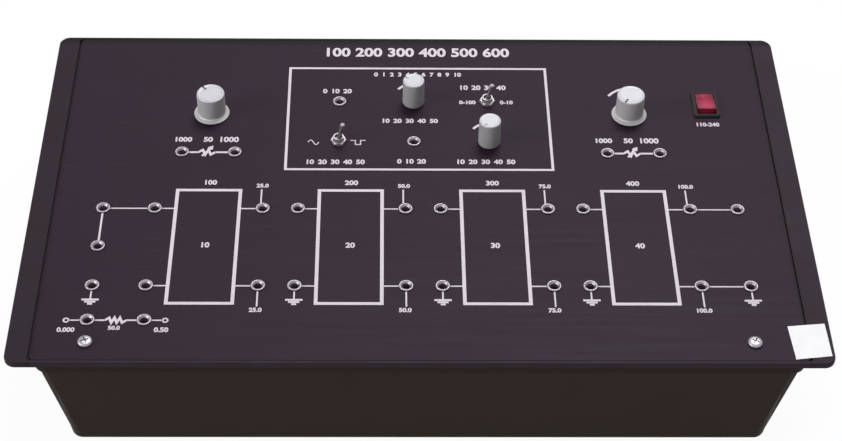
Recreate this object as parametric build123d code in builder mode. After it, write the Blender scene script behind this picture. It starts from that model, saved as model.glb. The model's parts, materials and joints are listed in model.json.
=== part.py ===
from build123d import *

import os
from math import cos, radians, sin, tan

# Transmission line trainer in a moulded bench case. All sizes are in millimetres.
# X runs to the right, Y to the back and Z up. The origin is on the bench, under the
# centre of the case.

# Case: a drafted tub with an upright band and a flange, which stands out as two wings
CASE_W = 420.0
CASE_D = 255.0
CASE_H = 72.0
CORNER_R = 6.0
FLANGE_T = 3.0
FLANGE_EDGE = 0.6
WING = 18.5
LIP = 2.0
BAND_H = 6.0
BAND_STEP = 0.8
DRAFT = 7.4
WALL = 2.5
FLOOR_T = 2.5
BASE_R = 4.0

# Rubber feet, set in from the edges of the tub's underside
FOOT_H = 4.0
FOOT_R = 7.0
FOOT_EDGE = 1.2
FOOT_INSET = 18.0

# Front panel, flush in the flange, with an open groove beside each wing
PANEL_T = 1.6
PANEL_R = 2.0
WING_TOP = 11.8
GROOVE = 1.2
RIM = 2.2
PANEL_GAP = 0.3

# Panel screws in the front corners, and the bosses that they bite into
SCREW_IN_X = 26.9
SCREW_IN_Y = 11.6
SCREW_R = 1.6
SCREW_LENGTH = 13.6
SCREW_HEAD_R = 3.85
SCREW_HEAD_H = 2.3
SCREW_HEAD_EDGE = 1.3
SCREW_HOLE_GAP = 0.3
THREAD_GAP = 0.05
BOSS_R = 4.5
BOSS_H = 16.0
BOSS_WEB = 3.0

# Rear catches: a tongue under the panel goes below a lug of the back wall
CATCH_IN = 77.0
CATCH_W = 16.0
CATCH_T = 1.5
CATCH_PAD = 16.0
CATCH_REACH = 6.0
CATCH_GAP = 0.2
LUG_H = 4.0
LUG_REACH = 7.0

# 4 mm sockets: a round flange on a hexagonal shank, which can't turn in the panel
SOCKET_BORE_R = 2.0
SOCKET_BORE_DEPTH = 16.0
SOCKET_FLANGE_R = 3.9
SOCKET_FLANGE_T = 1.0
SOCKET_SHANK_AF = 5.6
SOCKET_LENGTH = 19.0
SOCKET_HOLE_GAP = 0.05

# Line diagram: sections in a row, each from an input to an output column. The sizes
# that end in IN are set in from the panel's nearest edge, here and below.
SECTIONS = 4
FEED_IN = 26.4
FEED_RUN = 27.825
END_IN = 24.0
END_RUN = 25.825
SOCKET_PITCH = 19.05
SIGNAL_IN = 108.4
RETURN_IN = 51.1
SOURCE_IN = 26.8
SOURCE_PITCH = 29.0

# Variable resistors: a knob over two sockets, one at the source and one at the load
SOURCE_KNOB_IN = 80.3
LOAD_KNOB_IN = 76.6
RESISTOR_KNOB_IN = 64.8
RESISTOR_SOCKET_DROP = 32.2
RESISTOR_SOCKET_SPAN = 29.3

# Generator: three columns and two rows of controls and sockets
GENERATOR_X = -2.3
GENERATOR_IN = 71.1
GENERATOR_PITCH_X = 42.2
GENERATOR_PITCH_Y = 33.6

# Power switch
POWER_SIDE_IN = 32.1
POWER_BACK_IN = 56.5

# Control shafts turn in a bush, and have a flat that drives the knob
SHAFT_R = 3.0
SHAFT_FLAT = 1.5
SHAFT_GAP = 0.06
SHAFT_SEAT = 3.0
SHAFT_END_GAP = 0.1
BUSH_R = 3.5
BUSH_HOLE_GAP = 0.15
KNOB_BORE_GAP = 0.05
KNOB_GAP = 0.4
POINTER_W = 1.2
POINTER_DEPTH = 0.5

# Knob pointers as photographed, in degrees to the left of twelve o'clock
SOURCE_POINTER = 41.0
LOAD_POINTER = 150.0
AMPLITUDE_POINTER = 63.0
FREQUENCY_POINTER = 150.0

# Flanged knobs, on the variable resistors
SKIRT_R = 10.0
SKIRT_T = 1.5
FLANGED_R = 7.9
FLANGED_H = 15.2
FLANGED_EDGE = 0.7
FLANGED_BORE_TOP = 13.1

# Slim knobs, on the generator's controls
SLIM_R = 6.2
SLIM_H = 16.2
SLIM_EDGE = 0.6
SLIM_BORE_TOP = 13.0

# Panel-mounted variable resistors
CAN_R = 8.25
CAN_H = 9.0
CAN_BUSH_RISE = 4.0
CAN_NUT_AF = 10.0
CAN_NUT_T = 2.0
LUG_BLOCK_W = 14.0
LUG_BLOCK_REACH = 11.0
LUG_BLOCK_H = 2.5
LUG_PITCH = 5.0
LUG_W = 2.4
LUG_T = 0.5
LUG_LENGTH = 6.0

# Board-mounted potentiometers under the slim knobs
POT_W = 9.8
POT_D = 11.0
POT_H = 7.0

# Toggle switches: the body hangs from its bush, and a hub in the bush carries the lever
TOGGLE_W = 13.2
TOGGLE_D = 8.0
TOGGLE_H = 9.7
TOGGLE_BUSH_R = 3.0
TOGGLE_BUSH_RISE = 4.0
TOGGLE_BORE_R = 2.2
TOGGLE_NUT_AF = 7.8
TOGGLE_NUT_T = 2.0
TOGGLE_PIVOT = 1.6
TOGGLE_THROW = 12.5
LEVER_HUB_R = 1.96
LEVER_HUB_H = 1.76
LEVER_HUB_SINK = 2.0
LEVER_ROOT_R = 1.0
LEVER_TIP_R = 1.45
LEVER_TIP_EDGE = 0.8
LEVER_LENGTH = 12.0

# Rocker switch: bezel, housing, rocker on two stub pins, and blade terminals
BEZEL_W = 15.0
BEZEL_D = 21.0
BEZEL_T = 1.8
BEZEL_R = 1.5
BEZEL_EDGE = 0.5
HOUSING_W = 13.0
HOUSING_D = 19.2
HOUSING_DEPTH = 12.0
CUTOUT_GAP = 0.15
POCKET_W = 11.0
POCKET_D = 17.8
POCKET_DEPTH = 6.5
ROCKER_W = 10.6
ROCKER_D = 16.4
ROCKER_END_H = 3.1
ROCKER_MID_H = 2.0
ROCKER_SKIRT = 1.0
ROCKER_KEEL = 4.0
ROCKER_KEEL_D = 6.0
ROCKER_TILT = 10.0
ROCKER_EDGE = 0.4
ROCKER_PIVOT = 0.2
STUB_R = 1.0
STUB_REACH = 0.7
STUB_GAP = 0.06
BLADE_W = 4.8
BLADE_T = 0.8
BLADE_LENGTH = 8.0
BLADE_PITCH = 8.0

# Generator board, hung under the toggles' bodies, parts side down
BOARD_T = 1.6
GENERATOR_BOARD_W = 124.0
GENERATOR_BOARD_D = 62.0
BOARD_HOLE_GAP = 2.2
CHIP_W = 19.3
CHIP_D = 6.4
CHIP_H = 3.5
CHIP_SPOTS = ((-28.0, 12.0), (-28.0, -10.0), (24.0, 2.0))
BOARD_CAP_R = 4.0
BOARD_CAP_H = 9.0
BOARD_CAP_SPOTS = ((-50.0, 4.0), (50.0, -18.0), (-4.0, -24.0))

# Supply board on four posts of the tub's floor, in the right-hand rear corner
SUPPLY_SIDE_GAP = 23.3
SUPPLY_BACK_GAP = 25.3
SUPPLY_W = 104.0
SUPPLY_D = 62.0
POST_W = 7.0
POST_H = 6.0
POST_INSET = 6.0
TRANSFORMER_W = 42.0
TRANSFORMER_D = 36.0
TRANSFORMER_H = 32.0
TRANSFORMER_DX = 24.0
TRANSFORMER_EDGE = 1.5
SUPPLY_CAP_R = 6.5
SUPPLY_CAP_H = 22.0
SUPPLY_CAP_SPOTS = ((-38.0, 14.0), (-20.0, 14.0))
FUSE_R = 2.6
FUSE_LENGTH = 20.0
FUSE_SPOT = (-28.0, -14.0)
CLIP_W = 7.0
CLIP_T = 4.0
CLIP_RISE = 5.0
CLIP_GAP = 0.05

# Coils of coaxial line, one for each section, tied and laid side by side on the floor
COIL_ROW_GAP = 7.3
COIL_GAP = 3.5
COIL_FRONT_GAP = 28.8
COIL_HOLE_R = 20.0
COIL_H = 38.0
TIE_T = 1.2
TIE_W = 4.8
TIE_GAP = 0.15
TIES = 2

# Mains inlet, square to the drafted back wall
INLET_SIDE = 41.5
INLET_Z = 38.0
INLET_W = 27.0
INLET_H = 20.0
INLET_DEPTH = 17.0
INLET_FLANGE = 2.0
INLET_FLANGE_R = 2.0
INLET_WALL = 1.4
INLET_KEY = 4.5
PIN_T = 2.0
PIN_W = 4.0
PIN_PITCH = 14.0
PIN_DROP = 4.0
PIN_SETBACK = 3.0
PIN_TAIL = 8.0

# Levels and outlines that follow from the sizes above
Z_BASE = FOOT_H
Z_FLOOR = Z_BASE + FLOOR_T
Z_TOP = Z_BASE + CASE_H
Z_FLANGE = Z_TOP - FLANGE_T
Z_BAND = Z_FLANGE - BAND_H
Z_UNDER = Z_TOP - PANEL_T
PANEL_W = CASE_W - 2 * (WING_TOP + GROOVE)
PANEL_D = CASE_D - 2 * (RIM + PANEL_GAP)
BAND_W = CASE_W - 2 * WING
BAND_D = CASE_D - 2 * LIP
Z_BOARD = Z_UNDER - TOGGLE_H
STANDING = (Align.CENTER, Align.CENTER, Align.MIN)
HANGING = (Align.CENTER, Align.CENTER, Align.MAX)


def wall_outline(z):
    """Width and depth over the drafted walls at a height."""
    inset = BAND_STEP + (Z_BAND - z) * tan(radians(DRAFT))
    return BAND_W - 2 * inset, BAND_D - 2 * inset


FEED_X = FEED_IN - PANEL_W / 2
END_X = PANEL_W / 2 - END_IN
SIGNAL_Y = SIGNAL_IN - PANEL_D / 2
RETURN_Y = RETURN_IN - PANEL_D / 2
SOURCE_Y = SOURCE_IN - PANEL_D / 2
SECTION_PITCH = (END_X - END_RUN - FEED_X - FEED_RUN + SOCKET_PITCH) / SECTIONS
COLUMNS = [FEED_X]
for number in range(SECTIONS):
    input_x = FEED_X + FEED_RUN + number * SECTION_PITCH
    COLUMNS += [input_x, input_x + SECTION_PITCH - SOCKET_PITCH]
COLUMNS.append(END_X)
SIGNAL_SOCKETS = [(x, SIGNAL_Y) for x in COLUMNS] + [(FEED_X, (SIGNAL_Y + RETURN_Y) / 2)]
RETURN_SOCKETS = [(x, RETURN_Y) for x in COLUMNS]

GENERATOR_Y = PANEL_D / 2 - GENERATOR_IN
GENERATOR_LEFT = GENERATOR_X - GENERATOR_PITCH_X
GENERATOR_RIGHT = GENERATOR_X + GENERATOR_PITCH_X
GENERATOR_FRONT = GENERATOR_Y - GENERATOR_PITCH_Y / 2
GENERATOR_BACK = GENERATOR_Y + GENERATOR_PITCH_Y / 2
GENERATOR_SOCKETS = [(GENERATOR_LEFT, GENERATOR_BACK), (GENERATOR_X, GENERATOR_FRONT)]
RESISTOR_X = (SOURCE_KNOB_IN - PANEL_W / 2, PANEL_W / 2 - LOAD_KNOB_IN)
RESISTOR_KNOB_Y = PANEL_D / 2 - RESISTOR_KNOB_IN
RESISTOR_SOCKET_Y = RESISTOR_KNOB_Y - RESISTOR_SOCKET_DROP
SOURCE_SOCKETS = [(FEED_X, SOURCE_Y), (FEED_X + SOURCE_PITCH, SOURCE_Y)]
RESISTOR_SOCKETS = [
    (x + side * RESISTOR_SOCKET_SPAN / 2, RESISTOR_SOCKET_Y) for x in RESISTOR_X for side in (-1, 1)
]
TERMINAL_SOCKETS = SOURCE_SOCKETS + RESISTOR_SOCKETS + GENERATOR_SOCKETS
ALL_SOCKETS = SIGNAL_SOCKETS + RETURN_SOCKETS + TERMINAL_SOCKETS

RESISTORS = [(x, RESISTOR_KNOB_Y) for x in RESISTOR_X]
AMPLITUDE = (GENERATOR_X, GENERATOR_BACK)
FREQUENCY = (GENERATOR_RIGHT, GENERATOR_FRONT)
WAVEFORM = (GENERATOR_LEFT, GENERATOR_FRONT)
RANGE = (GENERATOR_RIGHT, GENERATOR_BACK)
TOGGLES = [WAVEFORM, RANGE]
SCREWS = [(side * (PANEL_W / 2 - SCREW_IN_X), SCREW_IN_Y - PANEL_D / 2) for side in (-1, 1)]
CATCHES = (CATCH_IN - PANEL_W / 2, PANEL_W / 2 - CATCH_IN)
POWER_X = PANEL_W / 2 - POWER_SIDE_IN
POWER_Y = PANEL_D / 2 - POWER_BACK_IN
INLET_X = BAND_W / 2 - INLET_SIDE

# Inner floor, and what lies along its walls
BACK_INSIDE = BAND_D / 2 - WALL
FLOOR_W, FLOOR_D = [size - 2 * WALL for size in wall_outline(Z_FLOOR)]
SUPPLY_X = FLOOR_W / 2 - SUPPLY_SIDE_GAP - SUPPLY_W / 2
SUPPLY_Y = FLOOR_D / 2 - SUPPLY_BACK_GAP - SUPPLY_D / 2
COIL_PITCH = (FLOOR_W - 2 * COIL_ROW_GAP) / SECTIONS
COIL_R = (COIL_PITCH - COIL_GAP) / 2
COIL_Y = COIL_FRONT_GAP + COIL_R - FLOOR_D / 2


def save(part, name):
    """Label a finished piece and write it as the node of that name."""
    part.label = name
    export_step(part, f"parts/{name}.step")


def drafted_outline(low, high, low_width, high_width):
    """The trapezium that a drafted block shows from one side."""
    Polygon(
        (-low_width / 2, low),
        (low_width / 2, low),
        (high_width / 2, high),
        (-high_width / 2, high),
        align=None,
    )


def drafted_block(low, high, low_size, high_size, radius):
    """A block with drafted sides between two rectangles, its corners rounded."""
    with BuildPart() as block:
        with BuildSketch(Plane.XZ):
            drafted_outline(low, high, low_size[0], high_size[0])
        extrude(amount=high_size[1], both=True)
        with BuildSketch(Plane.YZ):
            drafted_outline(low, high, low_size[1], high_size[1])
        extrude(amount=high_size[0], both=True, mode=Mode.INTERSECT)
        level = block.edges().filter_by(Axis.X) + block.edges().filter_by(Axis.Y)
        fillet([edge for edge in block.edges() if edge not in level], radius)
    return block.part


def inlet_plane():
    """On the outside of the back wall, facing out, square to its draft."""
    return Plane(
        origin=(INLET_X, wall_outline(INLET_Z)[1] / 2, INLET_Z),
        x_dir=(-1, 0, 0),
        z_dir=(0, cos(radians(DRAFT)), -sin(radians(DRAFT))),
    )


def make_tub():
    """The moulded case: floor, drafted walls, band, flange, bosses, lugs and posts."""
    base_size = wall_outline(Z_BASE)
    band_size = wall_outline(Z_BAND)
    neck_size = [size - 2 * WALL for size in band_size]
    with BuildPart() as tub:
        add(drafted_block(Z_BASE, Z_BAND, base_size, band_size, CORNER_R))
        fillet(tub.faces().sort_by(Axis.Z)[0].edges(), BASE_R)
        with BuildSketch(Plane.XY.offset(Z_BAND)):
            RectangleRounded(BAND_W, BAND_D, CORNER_R)
        extrude(amount=BAND_H)
        with BuildSketch(Plane.XY.offset(Z_FLANGE)):
            RectangleRounded(CASE_W, CASE_D, CORNER_R)
        extrude(amount=FLANGE_T)
        chamfer(tub.faces().sort_by(Axis.Z)[-1].edges(), FLANGE_EDGE)

        inside = drafted_block(Z_FLOOR, Z_BAND, (FLOOR_W, FLOOR_D), neck_size, CORNER_R - WALL)
        add(inside, mode=Mode.SUBTRACT)
        with BuildSketch(Plane.XY.offset(Z_BAND)):
            RectangleRounded(BAND_W - 2 * WALL, BAND_D - 2 * WALL, CORNER_R - WALL)
        extrude(amount=BAND_H + FLANGE_T, mode=Mode.SUBTRACT)
        with BuildSketch(Plane.XY.offset(Z_UNDER)):
            RectangleRounded(PANEL_W + 2 * GROOVE, PANEL_D + 2 * PANEL_GAP, PANEL_R)
        extrude(amount=PANEL_T, mode=Mode.SUBTRACT)

        add(bosses())
        with Locations(*[(x, y, Z_UNDER) for x, y in SCREWS]):
            Cylinder(SCREW_R + THREAD_GAP, SCREW_LENGTH, align=HANGING, mode=Mode.SUBTRACT)
        with BuildSketch(Plane.XY.offset(Z_UNDER - LUG_H)):
            with Locations(*[(x, BACK_INSIDE - LUG_REACH / 2 + PANEL_GAP) for x in CATCHES]):
                Rectangle(CATCH_W, LUG_REACH + 2 * PANEL_GAP)
        extrude(amount=LUG_H)
        with BuildSketch(Plane.XY.offset(Z_FLOOR)):
            with Locations(*supply_corners()):
                Rectangle(POST_W, POST_W)
        extrude(amount=POST_H)
        with BuildSketch(inlet_plane()):
            Rectangle(INLET_W + 2 * CUTOUT_GAP, INLET_H + 2 * CUTOUT_GAP)
        extrude(amount=2 * WALL, both=True, mode=Mode.SUBTRACT)
    save(tub.part, "case_tub")


def bosses():
    """Screw bosses behind the front wall, each on a web."""
    wall_y = PANEL_GAP - wall_outline(Z_UNDER - BOSS_H)[1] / 2
    with BuildPart() as pair:
        with BuildSketch(Plane.XY.offset(Z_UNDER - BOSS_H)):
            for x, y in SCREWS:
                with Locations((x, y)):
                    Circle(BOSS_R)
                with Locations((x, (y + wall_y) / 2)):
                    Rectangle(BOSS_WEB, y - wall_y)
        extrude(amount=BOSS_H)
    return pair.part


def supply_corners():
    """Centres of the supply board's four posts."""
    return [
        (SUPPLY_X + sx * (SUPPLY_W / 2 - POST_INSET), SUPPLY_Y + sy * (SUPPLY_D / 2 - POST_INSET))
        for sx in (-1, 1)
        for sy in (-1, 1)
    ]


def make_panel():
    """The printed panel, drilled for everything that it carries."""
    with BuildPart() as panel:
        with BuildSketch(Plane.XY.offset(Z_UNDER)):
            RectangleRounded(PANEL_W, PANEL_D, PANEL_R)
            with Locations(*ALL_SOCKETS):
                shank_outline(SOCKET_HOLE_GAP, Mode.SUBTRACT)
            with Locations(*RESISTORS, AMPLITUDE, FREQUENCY):
                Circle(BUSH_R + BUSH_HOLE_GAP, mode=Mode.SUBTRACT)
            with Locations(*TOGGLES):
                Circle(TOGGLE_BUSH_R + BUSH_HOLE_GAP, mode=Mode.SUBTRACT)
            with Locations(*SCREWS):
                Circle(SCREW_R + SCREW_HOLE_GAP, mode=Mode.SUBTRACT)
            with Locations((POWER_X, POWER_Y)):
                Rectangle(HOUSING_W + 2 * CUTOUT_GAP, HOUSING_D + 2 * CUTOUT_GAP, mode=Mode.SUBTRACT)
        extrude(amount=PANEL_T)
    save(panel.part, "front_panel")


def make_catches():
    """Folded tongues bonded under the panel's rear edge."""
    lug_front = BACK_INSIDE - LUG_REACH
    leg_back = lug_front - CATCH_GAP
    leg_front = leg_back - CATCH_T
    tongue_top = Z_UNDER - LUG_H - CATCH_GAP
    outline = [
        (leg_back - CATCH_PAD, Z_UNDER),
        (leg_back, Z_UNDER),
        (leg_back, tongue_top),
        (leg_back + CATCH_REACH, tongue_top),
        (leg_back + CATCH_REACH, tongue_top - CATCH_T),
        (leg_front, tongue_top - CATCH_T),
        (leg_front, Z_UNDER - CATCH_T),
        (leg_back - CATCH_PAD, Z_UNDER - CATCH_T),
    ]
    with BuildPart() as catches:
        for x in CATCHES:
            with BuildSketch(Plane.YZ.offset(x)):
                with BuildLine():
                    Polyline(*outline, close=True)
                make_face()
            extrude(amount=CATCH_W / 2, both=True)
    save(catches.part, "panel_catches")


def make_screws():
    """Pan-head panel screws, without their threads."""
    with BuildPart() as screws:
        with Locations(*[(x, y, Z_TOP) for x, y in SCREWS]):
            Cylinder(SCREW_HEAD_R, SCREW_HEAD_H, align=STANDING)
        chamfer(screws.faces().sort_by(Axis.Z)[-2:].edges(), SCREW_HEAD_EDGE)
        with Locations(*[(x, y, Z_TOP) for x, y in SCREWS]):
            Cylinder(SCREW_R, SCREW_LENGTH, align=HANGING)
    save(screws.part, "panel_screws")


def shank_outline(gap, mode):
    """The hexagon of a socket's shank, or of its hole with a gap."""
    RegularPolygon(SOCKET_SHANK_AF / 2 + gap, 6, major_radius=False, mode=mode)


def make_sockets(spots, name):
    """A group of 4 mm sockets with their flanges on the panel."""
    with BuildPart() as sockets:
        with BuildSketch(Plane.XY.offset(Z_TOP)):
            with Locations(*spots):
                shank_outline(0, Mode.ADD)
        extrude(amount=SOCKET_FLANGE_T - SOCKET_LENGTH)
        with Locations(*[(x, y, Z_TOP) for x, y in spots]):
            Cylinder(SOCKET_FLANGE_R, SOCKET_FLANGE_T, align=STANDING)
        with Locations(*[(x, y, Z_TOP + SOCKET_FLANGE_T) for x, y in spots]):
            Cylinder(SOCKET_BORE_R, SOCKET_BORE_DEPTH, align=HANGING, mode=Mode.SUBTRACT)
    save(sockets.part, name)


def make_nuts(spots, low, height, across_flats, bore_r, name):
    """A group of hexagon nuts."""
    with BuildPart() as nuts:
        with BuildSketch(Plane.XY.offset(low)):
            with Locations(*spots):
                RegularPolygon(across_flats / 2, 6, major_radius=False)
                Circle(bore_r, mode=Mode.SUBTRACT)
        extrude(amount=height)
    save(nuts.part, name)


def control_plane(spot, pointer, height=0.0):
    """At a control's axis above the panel, with local Y along the knob's pointer."""
    across = (cos(radians(pointer)), sin(radians(pointer)), 0)
    return Plane(origin=(*spot, Z_TOP + height), x_dir=across)


def shaft_outline(radius, flat):
    """A round shaft's section with its flat on the side that the pointer shows."""
    Circle(radius)
    with Locations((0, radius - flat)):
        Rectangle(2 * radius, 2 * flat, align=(Align.CENTER, Align.MIN), mode=Mode.SUBTRACT)


def knob_cuts(spot, pointer, cap_r, height, bore_top):
    """What is cut from a knob: its flatted bore, and the pointer line in its cap."""
    with BuildPart() as cuts:
        with BuildSketch(control_plane(spot, pointer, KNOB_GAP)):
            shaft_outline(SHAFT_R + KNOB_BORE_GAP, SHAFT_FLAT)
        extrude(amount=bore_top)
        with BuildSketch(control_plane(spot, pointer, KNOB_GAP + height)):
            with Locations((0, cap_r / 2)):
                Rectangle(POINTER_W, cap_r, align=(Align.CENTER, Align.MIN))
        extrude(amount=-POINTER_DEPTH)
    return cuts.part


def make_flanged_knob(spot, pointer, name):
    """A skirted knob, hollow below to clear the bush and nut that it covers."""
    room_r = CAN_NUT_AF / 2 / cos(radians(30)) + KNOB_GAP
    with BuildPart(control_plane(spot, pointer, KNOB_GAP)) as knob:
        Cylinder(SKIRT_R, SKIRT_T, align=STANDING)
        Cylinder(FLANGED_R, FLANGED_H, align=STANDING)
        chamfer(knob.faces().sort_by(Axis.Z)[-1].edges(), FLANGED_EDGE)
        Cylinder(room_r, CAN_BUSH_RISE, align=STANDING, mode=Mode.SUBTRACT)
        cuts = knob_cuts(spot, pointer, FLANGED_R, FLANGED_H, FLANGED_BORE_TOP)
    save(knob.part - cuts, name)


def make_slim_knob(spot, pointer, name):
    """A plain slim knob, close to the panel."""
    with BuildPart(control_plane(spot, pointer, KNOB_GAP)) as knob:
        Cylinder(SLIM_R, SLIM_H, align=STANDING)
        chamfer(knob.faces().sort_by(Axis.Z)[-1].edges(), SLIM_EDGE)
    save(knob.part - knob_cuts(spot, pointer, SLIM_R, SLIM_H, SLIM_BORE_TOP), name)


def make_shaft(spot, pointer, seat, flat_from, top, name):
    """A control shaft, round in its bush and flatted in its knob."""
    with BuildPart() as shaft:
        with BuildSketch(control_plane(spot, pointer, seat)):
            Circle(SHAFT_R)
        extrude(amount=flat_from - seat)
        with BuildSketch(control_plane(spot, pointer, flat_from)):
            shaft_outline(SHAFT_R, SHAFT_FLAT)
        extrude(amount=top - flat_from)
    save(shaft.part, name)


def make_resistors():
    """Round variable resistors, bushed through the panel, with three lugs each."""
    block_y = RESISTOR_KNOB_Y - LUG_BLOCK_REACH
    with BuildPart() as bodies:
        with Locations(*[(x, y, Z_UNDER) for x, y in RESISTORS]):
            Cylinder(CAN_R, CAN_H, align=HANGING)
        with BuildSketch(Plane.XY.offset(Z_UNDER - CAN_H)):
            with Locations(*[(x, block_y) for x in RESISTOR_X]):
                Rectangle(LUG_BLOCK_W, LUG_BLOCK_REACH, align=(Align.CENTER, Align.MIN))
        extrude(amount=LUG_BLOCK_H)
        with Locations(*[(x, y, Z_UNDER) for x, y in RESISTORS]):
            Cylinder(BUSH_R, PANEL_T + CAN_BUSH_RISE, align=STANDING)
        cut_shaft_holes(RESISTORS, CAN_BUSH_RISE)
    save(bodies.part, "resistor_bodies")

    with BuildPart() as lugs:
        with BuildSketch(Plane.XY.offset(Z_UNDER - CAN_H)):
            for x in RESISTOR_X:
                with Locations((x, block_y)):
                    with GridLocations(LUG_PITCH, 0, 3, 1):
                        Rectangle(LUG_W, LUG_LENGTH, align=(Align.CENTER, Align.MAX))
        extrude(amount=LUG_T)
    save(lugs.part, "resistor_lugs")


def cut_shaft_holes(spots, rise):
    """Blind holes for shafts, from the top of their bushes to their seats in the bodies."""
    depth = rise + PANEL_T + SHAFT_SEAT
    with Locations(*[(x, y, Z_TOP + rise) for x, y in spots]):
        Cylinder(SHAFT_R + SHAFT_GAP, depth, align=HANGING, mode=Mode.SUBTRACT)


def make_board_pots():
    """Square potentiometers on the generator board, with bushes up to the panel's face."""
    spots = [AMPLITUDE, FREQUENCY]
    with BuildPart() as bodies:
        with BuildSketch(Plane.XY.offset(Z_BOARD)):
            with Locations(*spots):
                Rectangle(POT_W, POT_D)
        extrude(amount=POT_H)
        with Locations(*[(x, y, Z_BOARD) for x, y in spots]):
            Cylinder(BUSH_R, Z_TOP - Z_BOARD, align=STANDING)
        with Locations(*[(x, y, Z_TOP) for x, y in spots]):
            depth = Z_TOP - Z_BOARD - SHAFT_SEAT
            Cylinder(SHAFT_R + SHAFT_GAP, depth, align=HANGING, mode=Mode.SUBTRACT)
    save(bodies.part, "board_pot_bodies")


def make_toggle(spot, name):
    """A toggle switch's body, with its bush and the lever's bore."""
    with BuildPart() as toggle:
        with BuildSketch(Plane.XY.offset(Z_BOARD)):
            with Locations(spot):
                Rectangle(TOGGLE_W, TOGGLE_D)
        extrude(amount=TOGGLE_H)
        with Locations((*spot, Z_UNDER)):
            Cylinder(TOGGLE_BUSH_R, PANEL_T + TOGGLE_BUSH_RISE, align=STANDING)
        with Locations((*spot, Z_TOP + TOGGLE_BUSH_RISE)):
            depth = TOGGLE_BUSH_RISE - TOGGLE_PIVOT + LEVER_HUB_SINK
            Cylinder(TOGGLE_BORE_R, depth, align=HANGING, mode=Mode.SUBTRACT)
    save(toggle.part, name)


def make_lever(spot, name):
    """A toggle's lever, leaning right: a hub in the bush, and a stem that widens to its tip."""
    lean = (sin(radians(TOGGLE_THROW)), 0, cos(radians(TOGGLE_THROW)))
    axis = Plane(origin=(*spot, Z_TOP + TOGGLE_PIVOT), x_dir=(0, 1, 0), z_dir=lean)
    with BuildPart(axis) as lever:
        Cone(LEVER_ROOT_R, LEVER_TIP_R, LEVER_LENGTH, align=STANDING)
        chamfer(lever.faces().sort_by(Axis(axis.origin, axis.z_dir))[-1].edges(), LEVER_TIP_EDGE)
        Cylinder(LEVER_HUB_R, LEVER_HUB_H)
    save(lever.part, name)


def make_bezel():
    """The power switch's bezel and housing, with the rocker's pocket and pin holes."""
    spot = (POWER_X, POWER_Y)
    with BuildPart() as bezel:
        with BuildSketch(Plane.XY.offset(Z_TOP)):
            with Locations(spot):
                RectangleRounded(BEZEL_W, BEZEL_D, BEZEL_R)
        extrude(amount=BEZEL_T)
        chamfer(bezel.faces().sort_by(Axis.Z)[-1].edges(), BEZEL_EDGE)
        with BuildSketch(Plane.XY.offset(Z_TOP - HOUSING_DEPTH)):
            with Locations(spot):
                Rectangle(HOUSING_W, HOUSING_D)
        extrude(amount=HOUSING_DEPTH)
        with BuildSketch(Plane.XY.offset(Z_TOP + BEZEL_T)):
            with Locations(spot):
                Rectangle(POCKET_W, POCKET_D)
        extrude(amount=-(BEZEL_T + POCKET_DEPTH), mode=Mode.SUBTRACT)
        with BuildSketch(Plane.YZ.offset(POWER_X)):
            with Locations((POWER_Y, Z_TOP + ROCKER_PIVOT)):
                Circle(STUB_R + STUB_GAP)
        extrude(amount=ROCKER_W / 2 + STUB_REACH + STUB_GAP, both=True, mode=Mode.SUBTRACT)
    save(bezel.part, "power_bezel")


def make_rocker():
    """The rocker, its front half raised: a shallow V on top, a keel, and two stub pins."""
    tilt = radians(ROCKER_TILT)
    side = Plane(
        origin=(POWER_X, POWER_Y, Z_TOP + ROCKER_PIVOT),
        x_dir=(0, cos(tilt), -sin(tilt)),
        z_dir=(1, 0, 0),
    )
    half = ROCKER_D / 2
    outline = [
        (-half, ROCKER_END_H),
        (0, ROCKER_MID_H),
        (half, ROCKER_END_H),
        (half, -ROCKER_SKIRT),
        (ROCKER_KEEL_D / 2, -ROCKER_KEEL),
        (-ROCKER_KEEL_D / 2, -ROCKER_KEEL),
        (-half, -ROCKER_SKIRT),
    ]
    with BuildPart() as rocker:
        with BuildSketch(side):
            with BuildLine():
                Polyline(*outline, close=True)
            make_face()
        extrude(amount=ROCKER_W / 2, both=True)
        chamfer(rocker.edges().filter_by(Axis.X).group_by(Axis.Z)[-1], ROCKER_EDGE)
        with BuildSketch(side):
            Circle(STUB_R)
        extrude(amount=ROCKER_W / 2 + STUB_REACH, both=True)
    save(rocker.part, "power_rocker")


def make_blades():
    """The power switch's two blade terminals."""
    with BuildPart() as blades:
        with BuildSketch(Plane.XY.offset(Z_TOP - HOUSING_DEPTH)):
            with Locations((POWER_X, POWER_Y)):
                with GridLocations(0, BLADE_PITCH, 1, 2):
                    Rectangle(BLADE_W, BLADE_T)
        extrude(amount=-BLADE_LENGTH)
    save(blades.part, "power_terminals")


def make_generator_board():
    """The generator board, with holes for the sockets that pass it, and its parts below."""
    middle = (GENERATOR_X, GENERATOR_Y)
    with BuildPart() as board:
        with BuildSketch(Plane.XY.offset(Z_BOARD - BOARD_T)):
            with Locations(middle):
                Rectangle(GENERATOR_BOARD_W, GENERATOR_BOARD_D)
            with Locations(*GENERATOR_SOCKETS):
                Circle(SOCKET_SHANK_AF / 2 + BOARD_HOLE_GAP, mode=Mode.SUBTRACT)
        extrude(amount=BOARD_T)
    save(board.part, "generator_board")

    parts_plane = Plane.XY.offset(Z_BOARD - BOARD_T)
    with BuildPart() as chips:
        with BuildSketch(parts_plane):
            with Locations(*[(GENERATOR_X + x, GENERATOR_Y + y) for x, y in CHIP_SPOTS]):
                Rectangle(CHIP_W, CHIP_D)
        extrude(amount=-CHIP_H)
    save(chips.part, "generator_chips")

    with BuildPart() as capacitors:
        with BuildSketch(parts_plane):
            with Locations(*[(GENERATOR_X + x, GENERATOR_Y + y) for x, y in BOARD_CAP_SPOTS]):
                Circle(BOARD_CAP_R)
        extrude(amount=-BOARD_CAP_H)
    save(capacitors.part, "generator_capacitors")


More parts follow.
